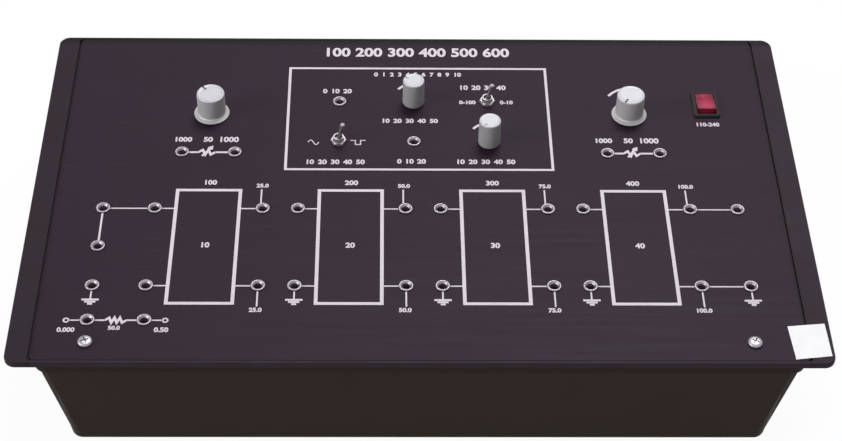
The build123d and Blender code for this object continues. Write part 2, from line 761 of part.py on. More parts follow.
def make_supply():
    """The supply board on its posts, with the transformer, capacitors, fuse and clips."""
    seat = Z_FLOOR + POST_H
    face = seat + BOARD_T
    with BuildPart() as board:
        with BuildSketch(Plane.XY.offset(seat)):
            with Locations((SUPPLY_X, SUPPLY_Y)):
                Rectangle(SUPPLY_W, SUPPLY_D)
        extrude(amount=BOARD_T)
    save(board.part, "supply_board")

    with BuildPart() as transformer:
        with BuildSketch(Plane.XY.offset(face)):
            with Locations((SUPPLY_X + TRANSFORMER_DX, SUPPLY_Y)):
                Rectangle(TRANSFORMER_W, TRANSFORMER_D)
        extrude(amount=TRANSFORMER_H)
        chamfer(transformer.faces().sort_by(Axis.Z)[-1].edges(), TRANSFORMER_EDGE)
    save(transformer.part, "mains_transformer")

    with BuildPart() as capacitors:
        with BuildSketch(Plane.XY.offset(face)):
            with Locations(*[(SUPPLY_X + x, SUPPLY_Y + y) for x, y in SUPPLY_CAP_SPOTS]):
                Circle(SUPPLY_CAP_R)
        extrude(amount=SUPPLY_CAP_H)
    save(capacitors.part, "supply_capacitors")

    fuse_x = SUPPLY_X + FUSE_SPOT[0]
    fuse_y = SUPPLY_Y + FUSE_SPOT[1]
    with BuildPart() as fuse:
        with BuildSketch(Plane.YZ.offset(fuse_x)):
            with Locations((fuse_y, face + CLIP_RISE)):
                Circle(FUSE_R)
        extrude(amount=FUSE_LENGTH / 2, both=True)
    save(fuse.part, "supply_fuse")

    with BuildPart() as clips:
        with BuildSketch(Plane.XY.offset(face)):
            with Locations((fuse_x, fuse_y)):
                with GridLocations(FUSE_LENGTH - CLIP_T, 0, 2, 1):
                    Rectangle(CLIP_T, CLIP_W)
        extrude(amount=CLIP_RISE)
        with BuildSketch(Plane.YZ.offset(fuse_x)):
            with Locations((fuse_y, face + CLIP_RISE)):
                Circle(FUSE_R + CLIP_GAP)
        extrude(amount=FUSE_LENGTH, both=True, mode=Mode.SUBTRACT)
    save(clips.part, "fuse_clips")


def make_coils():
    """One tied coil of line for each section, side by side on the floor."""
    low = Z_FLOOR + TIE_T + TIE_GAP
    centres = [((number - (SECTIONS - 1) / 2) * COIL_PITCH, COIL_Y) for number in range(SECTIONS)]
    with BuildPart() as coils:
        with BuildSketch(Plane.XY.offset(low)):
            with Locations(*centres):
                Circle(COIL_R)
                Circle(COIL_HOLE_R, mode=Mode.SUBTRACT)
        extrude(amount=COIL_H)
    save(coils.part, "line_coils")

    inner_w = COIL_R - COIL_HOLE_R + 2 * TIE_GAP
    inner_h = COIL_H + 2 * TIE_GAP
    ring_middle = (COIL_R + COIL_HOLE_R) / 2
    with BuildPart() as ties:
        for x, y in centres:
            for side in range(TIES):
                tie_x = x + (2 * side - 1) * ring_middle
                with BuildSketch(Plane.XZ.offset(-y)):
                    with Locations((tie_x, low + COIL_H / 2)):
                        Rectangle(inner_w + 2 * TIE_T, inner_h + 2 * TIE_T)
                        Rectangle(inner_w, inner_h, mode=Mode.SUBTRACT)
                extrude(amount=TIE_W / 2, both=True)
    save(ties.part, "coil_ties")


def inlet_opening():
    """The inlet's opening, keyed by its two bevelled corners."""
    half_w = INLET_W / 2 - INLET_WALL
    half_h = INLET_H / 2 - INLET_WALL
    Polygon(
        (-half_w, -half_h),
        (half_w, -half_h),
        (half_w, half_h - INLET_KEY),
        (half_w - INLET_KEY, half_h),
        (INLET_KEY - half_w, half_h),
        (-half_w, half_h - INLET_KEY),
        align=None,
    )


def make_inlet():
    """The mains inlet in the back wall, and its three pins with their tails."""
    plane = inlet_plane()
    with BuildPart() as inlet:
        with BuildSketch(plane):
            RectangleRounded(INLET_W + 2 * INLET_FLANGE, INLET_H + 2 * INLET_FLANGE, INLET_FLANGE_R)
        extrude(amount=INLET_FLANGE)
        with BuildSketch(plane):
            Rectangle(INLET_W, INLET_H)
        extrude(amount=-INLET_DEPTH)
        with BuildSketch(plane.offset(INLET_FLANGE)):
            inlet_opening()
        extrude(amount=-(INLET_FLANGE + INLET_DEPTH - INLET_WALL), mode=Mode.SUBTRACT)
        with BuildSketch(plane.offset(-INLET_DEPTH)):
            inlet_pin_outlines()
        extrude(amount=INLET_DEPTH, mode=Mode.SUBTRACT)
    save(inlet.part, "mains_inlet")

    with BuildPart() as pins:
        with BuildSketch(plane.offset(-INLET_DEPTH - PIN_TAIL)):
            inlet_pin_outlines()
        extrude(amount=INLET_DEPTH + PIN_TAIL - PIN_SETBACK)
    save(pins.part, "inlet_pins")


def inlet_pin_outlines():
    """Line and neutral side by side, and earth above and between them."""
    with Locations((-PIN_PITCH / 2, -PIN_DROP / 2), (PIN_PITCH / 2, -PIN_DROP / 2), (0, PIN_DROP / 2)):
        Rectangle(PIN_T, PIN_W)


def make_feet():
    """Four rubber feet under the tub's corners."""
    width, depth = wall_outline(Z_BASE)
    with BuildPart() as feet:
        with BuildSketch():
            with GridLocations(width - 2 * FOOT_INSET, depth - 2 * FOOT_INSET, 2, 2):
                Circle(FOOT_R)
        extrude(amount=FOOT_H)
        chamfer(feet.edges().group_by(Axis.Z)[0], FOOT_EDGE)
    save(feet.part, "rubber_feet")


def main():
    os.makedirs("parts", exist_ok=True)
    make_tub()
    make_panel()
    make_catches()
    make_screws()
    make_sockets(SIGNAL_SOCKETS, "signal_sockets")
    make_sockets(RETURN_SOCKETS, "return_sockets")
    make_sockets(TERMINAL_SOCKETS, "terminal_sockets")
    nut_bore = BUSH_R + THREAD_GAP
    make_nuts(RESISTORS, Z_TOP, CAN_NUT_T, CAN_NUT_AF, nut_bore, "resistor_nuts")
    nut_bore = TOGGLE_BUSH_R + THREAD_GAP
    make_nuts(TOGGLES, Z_TOP, TOGGLE_NUT_T, TOGGLE_NUT_AF, nut_bore, "toggle_nuts")

    make_flanged_knob(RESISTORS[0], SOURCE_POINTER, "source_knob")
    make_flanged_knob(RESISTORS[1], LOAD_POINTER, "load_knob")
    make_slim_knob(AMPLITUDE, AMPLITUDE_POINTER, "amplitude_knob")
    make_slim_knob(FREQUENCY, FREQUENCY_POINTER, "frequency_knob")

    can_seat = SHAFT_END_GAP - PANEL_T - SHAFT_SEAT
    flat_from = CAN_BUSH_RISE + KNOB_GAP
    flanged_top = KNOB_GAP + FLANGED_BORE_TOP - SHAFT_END_GAP
    make_shaft(RESISTORS[0], SOURCE_POINTER, can_seat, flat_from, flanged_top, "source_shaft")
    make_shaft(RESISTORS[1], LOAD_POINTER, can_seat, flat_from, flanged_top, "load_shaft")
    pot_seat = Z_BOARD + SHAFT_SEAT + SHAFT_END_GAP - Z_TOP
    slim_top = KNOB_GAP + SLIM_BORE_TOP - SHAFT_END_GAP
    make_shaft(AMPLITUDE, AMPLITUDE_POINTER, pot_seat, KNOB_GAP / 2, slim_top, "amplitude_shaft")
    make_shaft(FREQUENCY, FREQUENCY_POINTER, pot_seat, KNOB_GAP / 2, slim_top, "frequency_shaft")
    make_resistors()
    make_board_pots()

    make_toggle(WAVEFORM, "waveform_toggle")
    make_toggle(RANGE, "range_toggle")
    make_lever(WAVEFORM, "waveform_lever")
    make_lever(RANGE, "range_lever")
    make_bezel()
    make_rocker()
    make_blades()

    make_generator_board()
    make_supply()
    make_coils()
    make_inlet()
    make_feet()


main()
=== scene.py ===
import json
from itertools import product
from math import cos, hypot, pi, radians, sin, tan

import bmesh
import bpy
from mathutils import Matrix, Vector


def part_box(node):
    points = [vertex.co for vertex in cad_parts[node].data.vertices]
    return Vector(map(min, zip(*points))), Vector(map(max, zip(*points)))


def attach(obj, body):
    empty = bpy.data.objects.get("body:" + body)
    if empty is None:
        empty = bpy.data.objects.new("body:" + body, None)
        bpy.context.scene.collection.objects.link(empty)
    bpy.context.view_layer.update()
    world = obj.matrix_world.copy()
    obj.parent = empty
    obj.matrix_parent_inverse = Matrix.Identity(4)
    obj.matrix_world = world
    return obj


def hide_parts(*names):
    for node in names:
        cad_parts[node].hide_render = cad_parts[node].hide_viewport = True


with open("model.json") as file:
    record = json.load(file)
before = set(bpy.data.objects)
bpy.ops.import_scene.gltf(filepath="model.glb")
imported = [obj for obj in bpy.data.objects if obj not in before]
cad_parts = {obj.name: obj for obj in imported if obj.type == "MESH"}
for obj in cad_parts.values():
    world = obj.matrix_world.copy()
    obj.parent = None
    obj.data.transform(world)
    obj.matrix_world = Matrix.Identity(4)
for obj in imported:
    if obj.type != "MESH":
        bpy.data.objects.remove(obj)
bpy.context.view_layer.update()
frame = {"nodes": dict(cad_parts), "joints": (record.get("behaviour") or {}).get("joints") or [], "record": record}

bl_info = {
    "name": "Transmission line trainer",
    "version": (1, 0, 0),
    "blender": (4, 5, 0),
    "location": "3D View > Sidebar > Trainer",
    "description": "Finishes, print and controls of a bench trainer for transmission lines",
    "category": "Object",
}

MM = 0.001
PANEL_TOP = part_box("front_panel")[1][2]
JOINTS = {joint["name"]: joint for joint in frame["joints"]}
SECTIONS = 4
TURNING = "turning"
SMOOTH_BELOW = 32.0

# The sockets' middles on the panel's face, in metres
SOCKETS = {
    mount["name"]: Vector((*mount["pos_m"][:2], PANEL_TOP))
    for mount in frame["record"]["mounts"]
    if mount["kind"] == "bore"
}

# From here on lengths are in millimetres and angles in degrees, where nothing else is said.
# Places on the panel are measured from its middle.

# The case's outer walls
BAND_HALF_WIDTH = 191.5
BAND_HALF_DEPTH = 125.5
BAND_LEVEL = 67.0
BAND_STEP = 0.8
FLANGE_LEVEL = 73.0
INSIDE_FLOOR = 6.5
CASE_CORNER = 6.0
DRAFT = 7.4

# How far they are set out at the bench and at the flange, and where on the case that starts
SIDE_FLARE_BELOW = 0.5
SIDE_FLARE_ABOVE = 4.4
FRONT_FLARE_BELOW = 1.6
SIDE_FLARE_FROM = 172.0
FRONT_FLARE_FROM = 104.0
FLARE_RISE = 5.0
SKIN = 0.15
SLACK = 0.1

# Where shade is painted: beside two seams and along the rear edge
SEAM = 197.6
REAR_BAND = 122.0
# The colour of the painted shade
PAINTED_SHADE = (0.010, 0.008, 0.009)


# Meshes


def in_scene(name, data):
    """A new object in the scene."""
    made = bpy.data.objects.new(name, data)
    bpy.context.scene.collection.objects.link(made)
    return made


def add_object(mesh, material, body="root", stands_for=()):
    """Puts a mesh in the scene with its finish, on the body that carries it."""
    mesh.materials.append(material)
    piece = in_scene(mesh.name, mesh)
    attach(piece, body)
    if stands_for:
        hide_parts(*stands_for)
    return piece


def smoothed(mesh):
    """A mesh with smooth shading, but for its sharp edges."""
    mesh.shade_smooth()
    mesh.set_sharp_from_angle(angle=radians(SMOOTH_BELOW))
    return mesh


def finished_mesh(name, solid):
    """Turns an edit mesh into a mesh."""
    bmesh.ops.recalc_face_normals(solid, faces=solid.faces)
    mesh = bpy.data.meshes.new(name)
    solid.to_mesh(mesh)
    solid.free()
    return smoothed(mesh)


def evaluated_mesh(piece):
    """The mesh that a piece's modifiers or its text make."""
    return bpy.data.meshes.new_from_object(
        piece.evaluated_get(bpy.context.evaluated_depsgraph_get())
    )


def worked(mesh, kind, **settings):
    """A mesh after one modifier, under its own name."""
    piece = in_scene("worked piece", mesh)
    modifier = piece.modifiers.new(kind.lower(), kind)
    for key, value in settings.items():
        setattr(modifier, key, value)
    result, name = evaluated_mesh(piece), mesh.name
    bpy.data.objects.remove(piece)
    bpy.data.meshes.remove(mesh)
    result.name = name
    return smoothed(result)


def without(mesh, cutter):
    """A mesh with another closed mesh cut out of it."""
    helper = in_scene("cutter", cutter)
    result = worked(mesh, "BOOLEAN", operation="DIFFERENCE", solver="EXACT", object=helper)
    bpy.data.objects.remove(helper)
    bpy.data.meshes.remove(cutter)
    return result


def ring_reach(point, angle):
    """How far a profile point stands from the axis: round, or on a polygon's side."""
    radius = point[0]
    if len(point) < 3:
        return radius
    half = pi / point[2]
    reach = radius / cos(angle % (2 * half) - half)
    return min(reach, point[3]) if len(point) > 3 else reach


def turn(solid, profile, place, segments):
    """Adds a turned solid. A profile point is a radius and a height, and may add a number of
    sides, for which its radius goes to a flat, and a largest reach."""
    coordinates = solid.loops.layers.uv.get(TURNING) or solid.loops.layers.uv.new(TURNING)
    rings = []
    run = 0.0
    for index, point in enumerate(profile):
        if index:
            run += hypot(point[0] - profile[index - 1][0], point[1] - profile[index - 1][1])
        ring = []
        for step in range(segments if point[0] else 1):
            angle = 2 * pi * step / segments
            reach = ring_reach(point, angle) * MM
            spot = Vector((reach * cos(angle), reach * sin(angle), point[1] * MM))
            ring.append(solid.verts.new(place @ spot))
        rings.append((ring, run * MM))
    for (inner, inner_run), (outer, outer_run) in zip(rings, rings[1:]):
        for step in range(segments):
            corners = [
                (inner[step % len(inner)], step, inner_run),
                (inner[(step + 1) % len(inner)], step + 1, inner_run),
                (outer[(step + 1) % len(outer)], step + 1, outer_run),
                (outer[step % len(outer)], step, outer_run),
            ]
            if len(inner) == 1:
                corners = corners[1:]
            elif len(outer) == 1:
                corners = corners[:3]
            face = solid.faces.new([corner[0] for corner in corners])
            for loop, (_, column, along) in zip(face.loops, corners):
                loop[coordinates].uv = (column / segments, along)


def prism(solid, outline, low, high, place):
    """Adds a straight prism over an outline, from a low to a high level."""
    lower, upper = (
        [solid.verts.new(place @ Vector((x * MM, y * MM, level * MM))) for x, y in outline]
        for level in (low, high)
    )
    solid.faces.new(upper)
    solid.faces.new(lower[::-1])
    for index in range(len(outline)):
        after = (index + 1) % len(outline)
        solid.faces.new((lower[index], lower[after], upper[after], upper[index]))


def outer_reach(level):
    """Half the width and half the depth over the case's walls at a level."""
    below = BAND_STEP + (BAND_LEVEL - level) * tan(radians(DRAFT))
    inset = below if level < BAND_LEVEL else 0.0
    return BAND_HALF_WIDTH - inset, BAND_HALF_DEPTH - inset


def flare_share(run):
    """How much of a wall's flare a place gets, past the line where the flare starts."""
    return min(1.0, max(0.0, run / FLARE_RISE))


def flared_case():
    """A copy of the tub with its outer walls set out as they stand below the wings, without
    moving the flange, the openings or what the walls carry inside."""
    mesh = frame["nodes"]["case_tub"].data.copy()
    mesh.name = "flared_case"
    for vertex in mesh.vertices:
        x, y, z = vertex.co / MM
        wide, deep = outer_reach(z)
        past_side = max(0.0, abs(x) - wide + CASE_CORNER)
        past_end = max(0.0, abs(y) - deep + CASE_CORNER)
        off = hypot(past_side, past_end) - CASE_CORNER
        skin = BAND_STEP + SLACK if z > BAND_LEVEL - SLACK else SKIN
        on_wall = z < FLANGE_LEVEL + SLACK and -skin < off < SKIN
        if on_wall or z < INSIDE_FLOOR - SLACK:
            flare = SIDE_FLARE_BELOW + (SIDE_FLARE_ABOVE - SIDE_FLARE_BELOW) * z / FLANGE_LEVEL
            lean = FRONT_FLARE_BELOW * max(0.0, 1.0 - z / BAND_LEVEL)
            outward = flare_share(abs(x) - SIDE_FLARE_FROM) * flare * MM
            vertex.co.x += outward if x > 0 else -outward
            vertex.co.y -= flare_share(-y - FRONT_FLARE_FROM) * lean * MM
    mesh.materials.clear()
    mesh.update()
    return mesh


def on_panel(x, y):
    """At a place on the panel's face."""
    return Matrix.Translation((x * MM, y * MM, PANEL_TOP))


def middle_of(node):
    """X and Y of the middle of a carried-over piece."""
    low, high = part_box(node)
    return (low[0] + high[0]) / 2 / MM, (low[1] + high[1]) / 2 / MM


def socket_at(name):
    """Where a socket is on the panel."""
    return (SOCKETS[name] / MM).xy


def arc_points(x, y, radius, start, end, steps=24):
    """Points along an arc, with its angles from +X."""
    angles = [radians(start + (end - start) * step / steps) for step in range(steps + 1)]
    return [(x + radius * cos(angle), y + radius * sin(angle)) for angle in angles]


# Finishes, with their depths and scales in metres


class Nodes:
    """A node tree in the making, with the steps that the finishes share."""

    def __init__(self, tree):
        self.tree = tree
        tree.nodes.clear()

    def feed(self, node, inputs):
        """Gives inputs their values, or links them to the outputs that drive them."""
        for key, value in inputs.items():
            if isinstance(value, bpy.types.NodeSocket):
                self.tree.links.new(value, node.inputs[key])
            else:
                node.inputs[key].default_value = value

    def put(self, kind, inputs=None, **settings):
        """Adds a shader node with its settings and its inputs."""
        made = self.tree.nodes.new(kind)
        for name, value in settings.items():
            setattr(made, name, value)
        self.feed(made, inputs or {})
        return made

    def place(self, scale=(1.0, 1.0, 1.0), source="Object"):
        """Coordinates on the piece, stretched by a scale."""
        coordinates = self.put("ShaderNodeTexCoord").outputs[source]
        mapping = self.put("ShaderNodeMapping", {"Vector": coordinates, "Scale": scale})
        return mapping.outputs["Vector"]

    def axes(self, vector=None):
        """X, Y and Z of a vector, or else of the place on the piece."""
        if vector is None:
            vector = self.put("ShaderNodeTexCoord").outputs["Object"]
        return self.put("ShaderNodeSeparateXYZ", {"Vector": vector}).outputs

    def noise(self, vector, scale, detail=3.0, roughness=0.55):
        """A soft random field from 0 to 1."""
        inputs = {"Vector": vector, "Scale": scale, "Detail": detail, "Roughness": roughness}
        return self.put("ShaderNodeTexNoise", inputs).outputs[0]

    def math(self, operation, *values):
        """One step of arithmetic between outputs or numbers."""
        inputs = dict(enumerate(values))
        return self.put("ShaderNodeMath", inputs, operation=operation).outputs[0]

    def blend(self, first, second, share):
        """Two fields added, the first with its share of the whole."""
        parts = (first, share), (second, 1 - share)
        return self.math("ADD", *(self.math("MULTIPLY", *part) for part in parts))

    def between(self, field, low, high, start=0.3, end=0.7):
        """A number that goes from low to high as a field goes from start to end."""
        inputs = {"Value": field, "From Min": start, "From Max": end, "To Min": low, "To Max": high}
        return self.put("ShaderNodeMapRange", inputs).outputs["Result"]

    def tint(self, field, low, high, start=0.3, end=0.7):
        """A colour that goes from low to high as a field goes from start to end."""
        made = self.put("ShaderNodeValToRGB", {"Fac": field})
        first, last = made.color_ramp.elements
        first.position, last.position = start, end
        first.color, last.color = (*low, 1.0), (*high, 1.0)
        return made.outputs["Color"]

    def cover(self, share, base, color):
        """A base covered by a share of a colour."""
        inputs = {0: share, 6: base, 7: (*color, 1.0)}
        return self.put("ShaderNodeMix", inputs, data_type="RGBA").outputs[2]


class Finish(Nodes):
    """A material in the making, with its main shader."""

    def __init__(self, name):
        self.material = bpy.data.materials.new(name)
        self.material.use_nodes = True
        super().__init__(self.material.node_tree)
        self.shader = self.put("ShaderNodeBsdfPrincipled")
        surface = {"Surface": self.shader.outputs["BSDF"]}
        self.output = self.put("ShaderNodeOutputMaterial", surface)

    def done(self, color, roughness, height, depth, others=None):
        """The material, once its shader has its inputs and fine relief from a height field."""
        bump = self.put("ShaderNodeBump", {"Height": height, "Distance": depth, "Strength": 1.0})
        inputs = {"Base Color": color, "Roughness": roughness, "Normal": bump.outputs["Normal"]}
        self.feed(self.shader, inputs | (others or {}))
        return self.material


def dimmed(color, factor):
    """A colour times a factor."""
    return tuple(channel * factor for channel in color)


def shades(color, spread):
    """A darker and a lighter shade of one colour."""
    return dimmed(color, 1 - spread), dimmed(color, 1 + spread)


def moulded_plastic(name, color, roughness, grain, depth, gloss=0.4, spread=0.14, film=None):
    """Moulded plastic with a fine grain, slight mottling and a little polish from handling. A
    film takes the finish and its colour, and gives the colour with what lies over it."""
    finish = Finish(name)
    place = finish.place()
    mottle = finish.noise(place, 38.0, 5.0)
    blend = finish.blend(mottle, finish.noise(place, grain * 1.7, 2.0), 0.65)
    base = finish.tint(blend, *shades(color, spread), 0.35, 0.65)
    return finish.done(
        film(finish, base) if film else base,
        finish.between(mottle, roughness - 0.06, roughness + 0.06),
        finish.noise(place, grain, 4.0, 0.6), depth, {"Specular IOR Level": gloss},
    )


def along_seams(finish, reach):
    """How dark the painted shade is: it lies beside the two side seams and along the rear edge,
    and fades out over a reach."""
    x, y, _ = finish.axes()
    off = finish.math("ABSOLUTE", finish.math("SUBTRACT", finish.math("ABSOLUTE", x), SEAM * MM))
    sides = finish.between(off, 0.45, 0.0, 0.5 * MM, reach * MM)
    back = finish.between(y, 0.0, 0.8, (REAR_BAND - 1.2) * MM, (REAR_BAND + 0.6) * MM)
    return finish.math("MAXIMUM", sides, back)


def grained_case(name, color, dust_and_top_light):
    """Grained moulded plastic. What faces up and the flange's edge take a faint, lighter film in
    mottled patches: dusting and painted light from above. Painted shade lies beside the seams,
    along the rear edge and over the left wing."""

    def dust_and_grime(finish, base):
        x, _, z = finish.axes()
        # What faces up and the flange's edge get a lighter, mottled tint: painted light from above, with dusting
        facing = finish.axes(finish.put("ShaderNodeNewGeometry").outputs["Normal"])[2]
        edge = finish.between(z, 0.0, 1.0, (FLANGE_LEVEL - 0.2) * MM, (FLANGE_LEVEL + 0.3) * MM)
        upward = finish.math("MAXIMUM", finish.between(facing, 0.0, 1.0, 0.5, 0.95), edge)
        clouds = finish.noise(finish.place(), 55.0, 5.0, 0.65)
        dust_and_light_share = finish.math("MULTIPLY", upward, finish.between(clouds, 0.6, 1.0, 0.35, 0.65))
        # Painted shade: over the left wing, and beside the seams and along the rear edge, on what faces up
        left_wing_shade = finish.between(x, 0.25, 0.0, (0.5 - SEAM) * MM, (2.0 - SEAM) * MM)
        dark = finish.math("MAXIMUM", along_seams(finish, 2.2), left_wing_shade)
        lit_and_dusty = finish.cover(dust_and_light_share, base, dust_and_top_light)
        return finish.cover(finish.math("MULTIPLY", upward, dark), lit_and_dusty, PAINTED_SHADE)

    return moulded_plastic(name, color, 0.54, 620.0, 0.00016, 0.07, film=dust_and_grime)


def satin_laminate(name, color, scuff):
    """A satin panel face with faint wiping marks and a few fine hairline scratches, and with
    painted shade beside the side seams and along the rear edge.
    """
    finish = Finish(name)
    place = finish.place()
    cloud = finish.noise(place, 14.0, 4.0)
    wipe = finish.noise(finish.place((9.0, 160.0, 30.0)), 1.6, 5.0, 0.6)
    hair = finish.noise(finish.place((40.0, 900.0, 60.0)), 1.0, 2.0)
    scratch = finish.between(hair, 0.0, 0.16, 0.70, 0.76)
    scuffed = finish.cover(scratch, finish.tint(cloud, *shades(color, 0.07)), scuff)
    return finish.done(
        # Painted shade beside the side seams and along the rear edge
        finish.cover(along_seams(finish, 3.2), scuffed, PAINTED_SHADE),
        finish.between(finish.blend(wipe, cloud, 0.7), 0.42, 0.56),
        finish.noise(place, 420.0, 3.0), 0.00003, {"Specular IOR Level": 0.07},
    )


def turned_metal(name, color, roughness, depth=0.00001, spread=0.05, metallic=1.0, along=0.4):
    """Plated, anodised or lacquered metal with fine turning marks round its axis."""
    finish = Finish(name)
    marks = finish.noise(finish.place((3.0, 12000.0, 1.0), "UV"), 1.0, 3.0, 0.7)
    blend = finish.blend(marks, finish.noise(finish.place(), 240.0, 4.0), 0.5)
    turning = finish.put("ShaderNodeTangent", direction_type="UV_MAP", uv_map=TURNING)
    return finish.done(
        finish.tint(blend, *shades(color, spread)),
        finish.between(blend, roughness - 0.05, roughness + 0.07), marks, depth,
        {"Metallic": metallic, "Anisotropic": along, "Tangent": turning.outputs["Tangent"]},
    )


def drawn_metal(name, color, roughness, stretch=(30.0, 900.0, 900.0), metallic=1.0):
    """Sheet, wire or strip metal with its drawing lines and a slight tarnish."""
    finish = Finish(name)
    lines = finish.noise(finish.place(stretch), 1.0, 3.0, 0.65)
    blend = finish.blend(lines, finish.noise(finish.place(), 120.0, 4.0), 0.5)
    return finish.done(
        finish.tint(blend, *shades(color, 0.1)),
        finish.between(blend, roughness - 0.06, roughness + 0.1),
        lines, 0.000012, {"Metallic": metallic},
    )


def printed_ink(name, color):
    """Screen-printed ink, matt, with slight pinholes and thin places."""
    finish = Finish(name)
    place = finish.place()
    thin = finish.noise(place, 900.0, 3.0)
    blend = finish.blend(thin, finish.noise(place, 60.0, 2.0), 0.6)
    return finish.done(
        finish.tint(blend, dimmed(color, 0.86), color, 0.32, 0.56),
        finish.between(thin, 0.5, 0.68), thin, 0.00001, {"Specular IOR Level": 0.3},
    )


def label_paper(name, color):
    """Matt white label paper with its fibres and faint finger marks."""
    finish = Finish(name)
    fibres = finish.noise(finish.place((500.0, 1400.0, 500.0)), 1.0, 5.0, 0.7)
    blend = finish.blend(fibres, finish.noise(finish.place(), 90.0, 3.0), 0.55)
    return finish.done(
        finish.tint(blend, dimmed(color, 0.92), color, 0.34, 0.6),
        finish.between(fibres, 0.7, 0.85), fibres, 0.00003, {"Specular IOR Level": 0.25},
    )


def clear_moulding(name, color, middle):
    """A glossy tinted moulding that light sinks into a little, with a painted highlight: lighter
    round its middle and deeper in colour away from it.
    """
    finish = Finish(name)
    place = finish.place()
    spot = finish.put("ShaderNodeTexCoord").outputs["Object"]
    for operation, value in (("SUBTRACT", middle), ("MULTIPLY", (1.5, 0.72, 0.75))):
        inputs = {0: spot, 1: value}
        spot = finish.put("ShaderNodeVectorMath", inputs, operation=operation).outputs["Vector"]
    away = finish.put("ShaderNodeVectorMath", {0: spot}, operation="LENGTH").outputs["Value"]
    # A painted highlight: the colour is lighter near the given middle
    lit = finish.between(away, 1.0, 0.0, 0.0, 0.0095)
    blend = finish.blend(lit, finish.noise(place, 150.0, 3.0), 0.85)
    return finish.done(
        finish.tint(blend, *shades(color, 0.6), 0.1, 0.9),
        finish.between(finish.noise(place, 600.0, 3.0), 0.2, 0.34),
        finish.noise(place, 260.0, 2.0), 0.000006,
        {
            "Subsurface Weight": 0.15, "Subsurface Radius": (0.004, 0.0008, 0.0008),
            "Specular IOR Level": 0.2, "Coat Weight": 0.08, "Coat Roughness": 0.12,
        },
    )


def circuit_board(name, mask, copper):
    """Solder mask over tracks, which show as slightly raised, lighter runs."""
    finish = Finish(name)
    place = finish.place()
    runs = {"Vector": place, "Scale": 70.0, "Mortar Size": 0.07, "Brick Width": 0.9}
    tracks = finish.put("ShaderNodeTexBrick", runs).outputs["Fac"]
    pads = finish.put("ShaderNodeTexVoronoi", {"Vector": place, "Scale": 190.0}).outputs[0]
    raised = finish.math("MAXIMUM", tracks, finish.between(pads, 1.0, 0.0, 0.12, 0.2))
    return finish.done(
        finish.tint(raised, mask, copper, 0.2, 0.8),
        finish.between(finish.noise(place, 80.0, 3.0), 0.28, 0.42), raised, 0.00004,
    )


def wound_cable(name, color, pitch, middle_y, cable):
    """Coils of cable laid side by side: each turn is a round ridge about its coil's axis, darker
    between the turns and lighter on its crest, a painted shade and highlight. Sizes in metres."""
    finish = Finish(name)
    x, y, z = finish.axes()
    squares = []
    for run, middle in ((finish.math("WRAP", x, pitch, 0.0), pitch / 2), (y, middle_y)):
        away = finish.math("SUBTRACT", run, middle)
        squares.append(finish.math("MULTIPLY", away, away))
    ridges = []
    for run in (finish.math("SQRT", finish.math("ADD", *squares)), z):
        wave = finish.math("SINE", finish.math("MULTIPLY", run, pi / cable))
        ridges.append(finish.math("ABSOLUTE", wave))
    height = finish.math("MULTIPLY", *ridges)
    return finish.done(
        # Darker between the turns and lighter on their crests: painted shade and highlight
        finish.tint(height, *shades(color, 0.4), 0.1, 0.8),
        finish.between(finish.noise(finish.place(), 260.0, 4.0), 0.3, 0.46), height, cable / 2,
    )


# The transformer's sheets and tape, half the fuse's bare glass, and how softly two parts meet
LAMINATION = 0.0007
TAPE_LEVEL = 0.030
TAPE_REACH = 0.0080
GLASS_REACH = 0.0052
BLUR = 0.0002


def wound_core(name, color, tape):
    """A transformer's stacked laminations, with a band of tape round the middle."""
    finish = Finish(name)
    level = finish.axes()[2]
    sheets = finish.math("SINE", finish.math("MULTIPLY", level, 2 * pi / LAMINATION))
    off = finish.math("ABSOLUTE", finish.math("SUBTRACT", level, TAPE_LEVEL))
    band = finish.between(off, 1.0, 0.0, TAPE_REACH - BLUR, TAPE_REACH + BLUR)
    return finish.done(
        finish.cover(band, finish.tint(sheets, *shades(color, 0.25), 0.2, 0.8), tape),
        finish.between(finish.noise(finish.place(), 200.0, 3.0), 0.36, 0.5), sheets, 0.00006,
    )


def fuse_glass(name):
    """A glass tube with a faint green tint, and plated caps at its ends."""
    finish = Finish(name)
    along = finish.math("SUBTRACT", finish.axes()[0], middle_of("supply_fuse")[0] * MM)
    off = finish.math("ABSOLUTE", along)
    cap = finish.between(off, 0.0, 1.0, GLASS_REACH, GLASS_REACH + BLUR)
    finish.feed(finish.shader, {
        "Base Color": finish.tint(cap, (0.80, 0.88, 0.84), (0.72, 0.70, 0.66), 0.4, 0.6),
        "Metallic": cap,
        "Transmission Weight": finish.between(cap, 0.95, 0.0, 0.0, 1.0),
        "Roughness": finish.between(finish.noise(finish.place(), 500.0, 3.0), 0.04, 0.2),
    })
    return finish.material


def give_finish(material, *nodes):
    """Gives carried-over pieces their finish."""
    for node in nodes:
        for slot in frame["nodes"][node].material_slots:
            slot.material = material


# What a user would change, in metres and watts

LENGTH = {"unit": "LENGTH", "precision": 5}
COLOR = {"subtype": "COLOR", "min": 0.0, "max": 1.0}


class TrainerPrint(bpy.types.PropertyGroup):
    """Sizes and colour of the white print."""

    thin_line: bpy.props.FloatProperty(
        name="Thin line", description="Width of the circuit's lines",
        default=0.00085, min=0.0002, max=0.002, **LENGTH,
    )
    frame_line: bpy.props.FloatProperty(
        name="Frame line", description="Width of the generator's frame",
        default=0.0015, min=0.0004, max=0.003, **LENGTH,
    )
    box_line: bpy.props.FloatProperty(
        name="Box line", description="Width of the section boxes' lines",
        default=0.0019, min=0.0004, max=0.003, **LENGTH,
    )
    ink_depth: bpy.props.FloatProperty(
        name="Ink", description="How far the print stands off the panel",
        default=0.00006, min=0.00001, max=0.0002, **LENGTH,
    )
    numeral: bpy.props.FloatProperty(
        name="Numerals", description="Height of the plain numbers",
        default=0.0027, min=0.001, max=0.006, **LENGTH,
    )
    ink: bpy.props.FloatVectorProperty(
        name="Ink colour", description="Colour of the print",
        default=(0.62, 0.57, 0.62), **COLOR,
    )


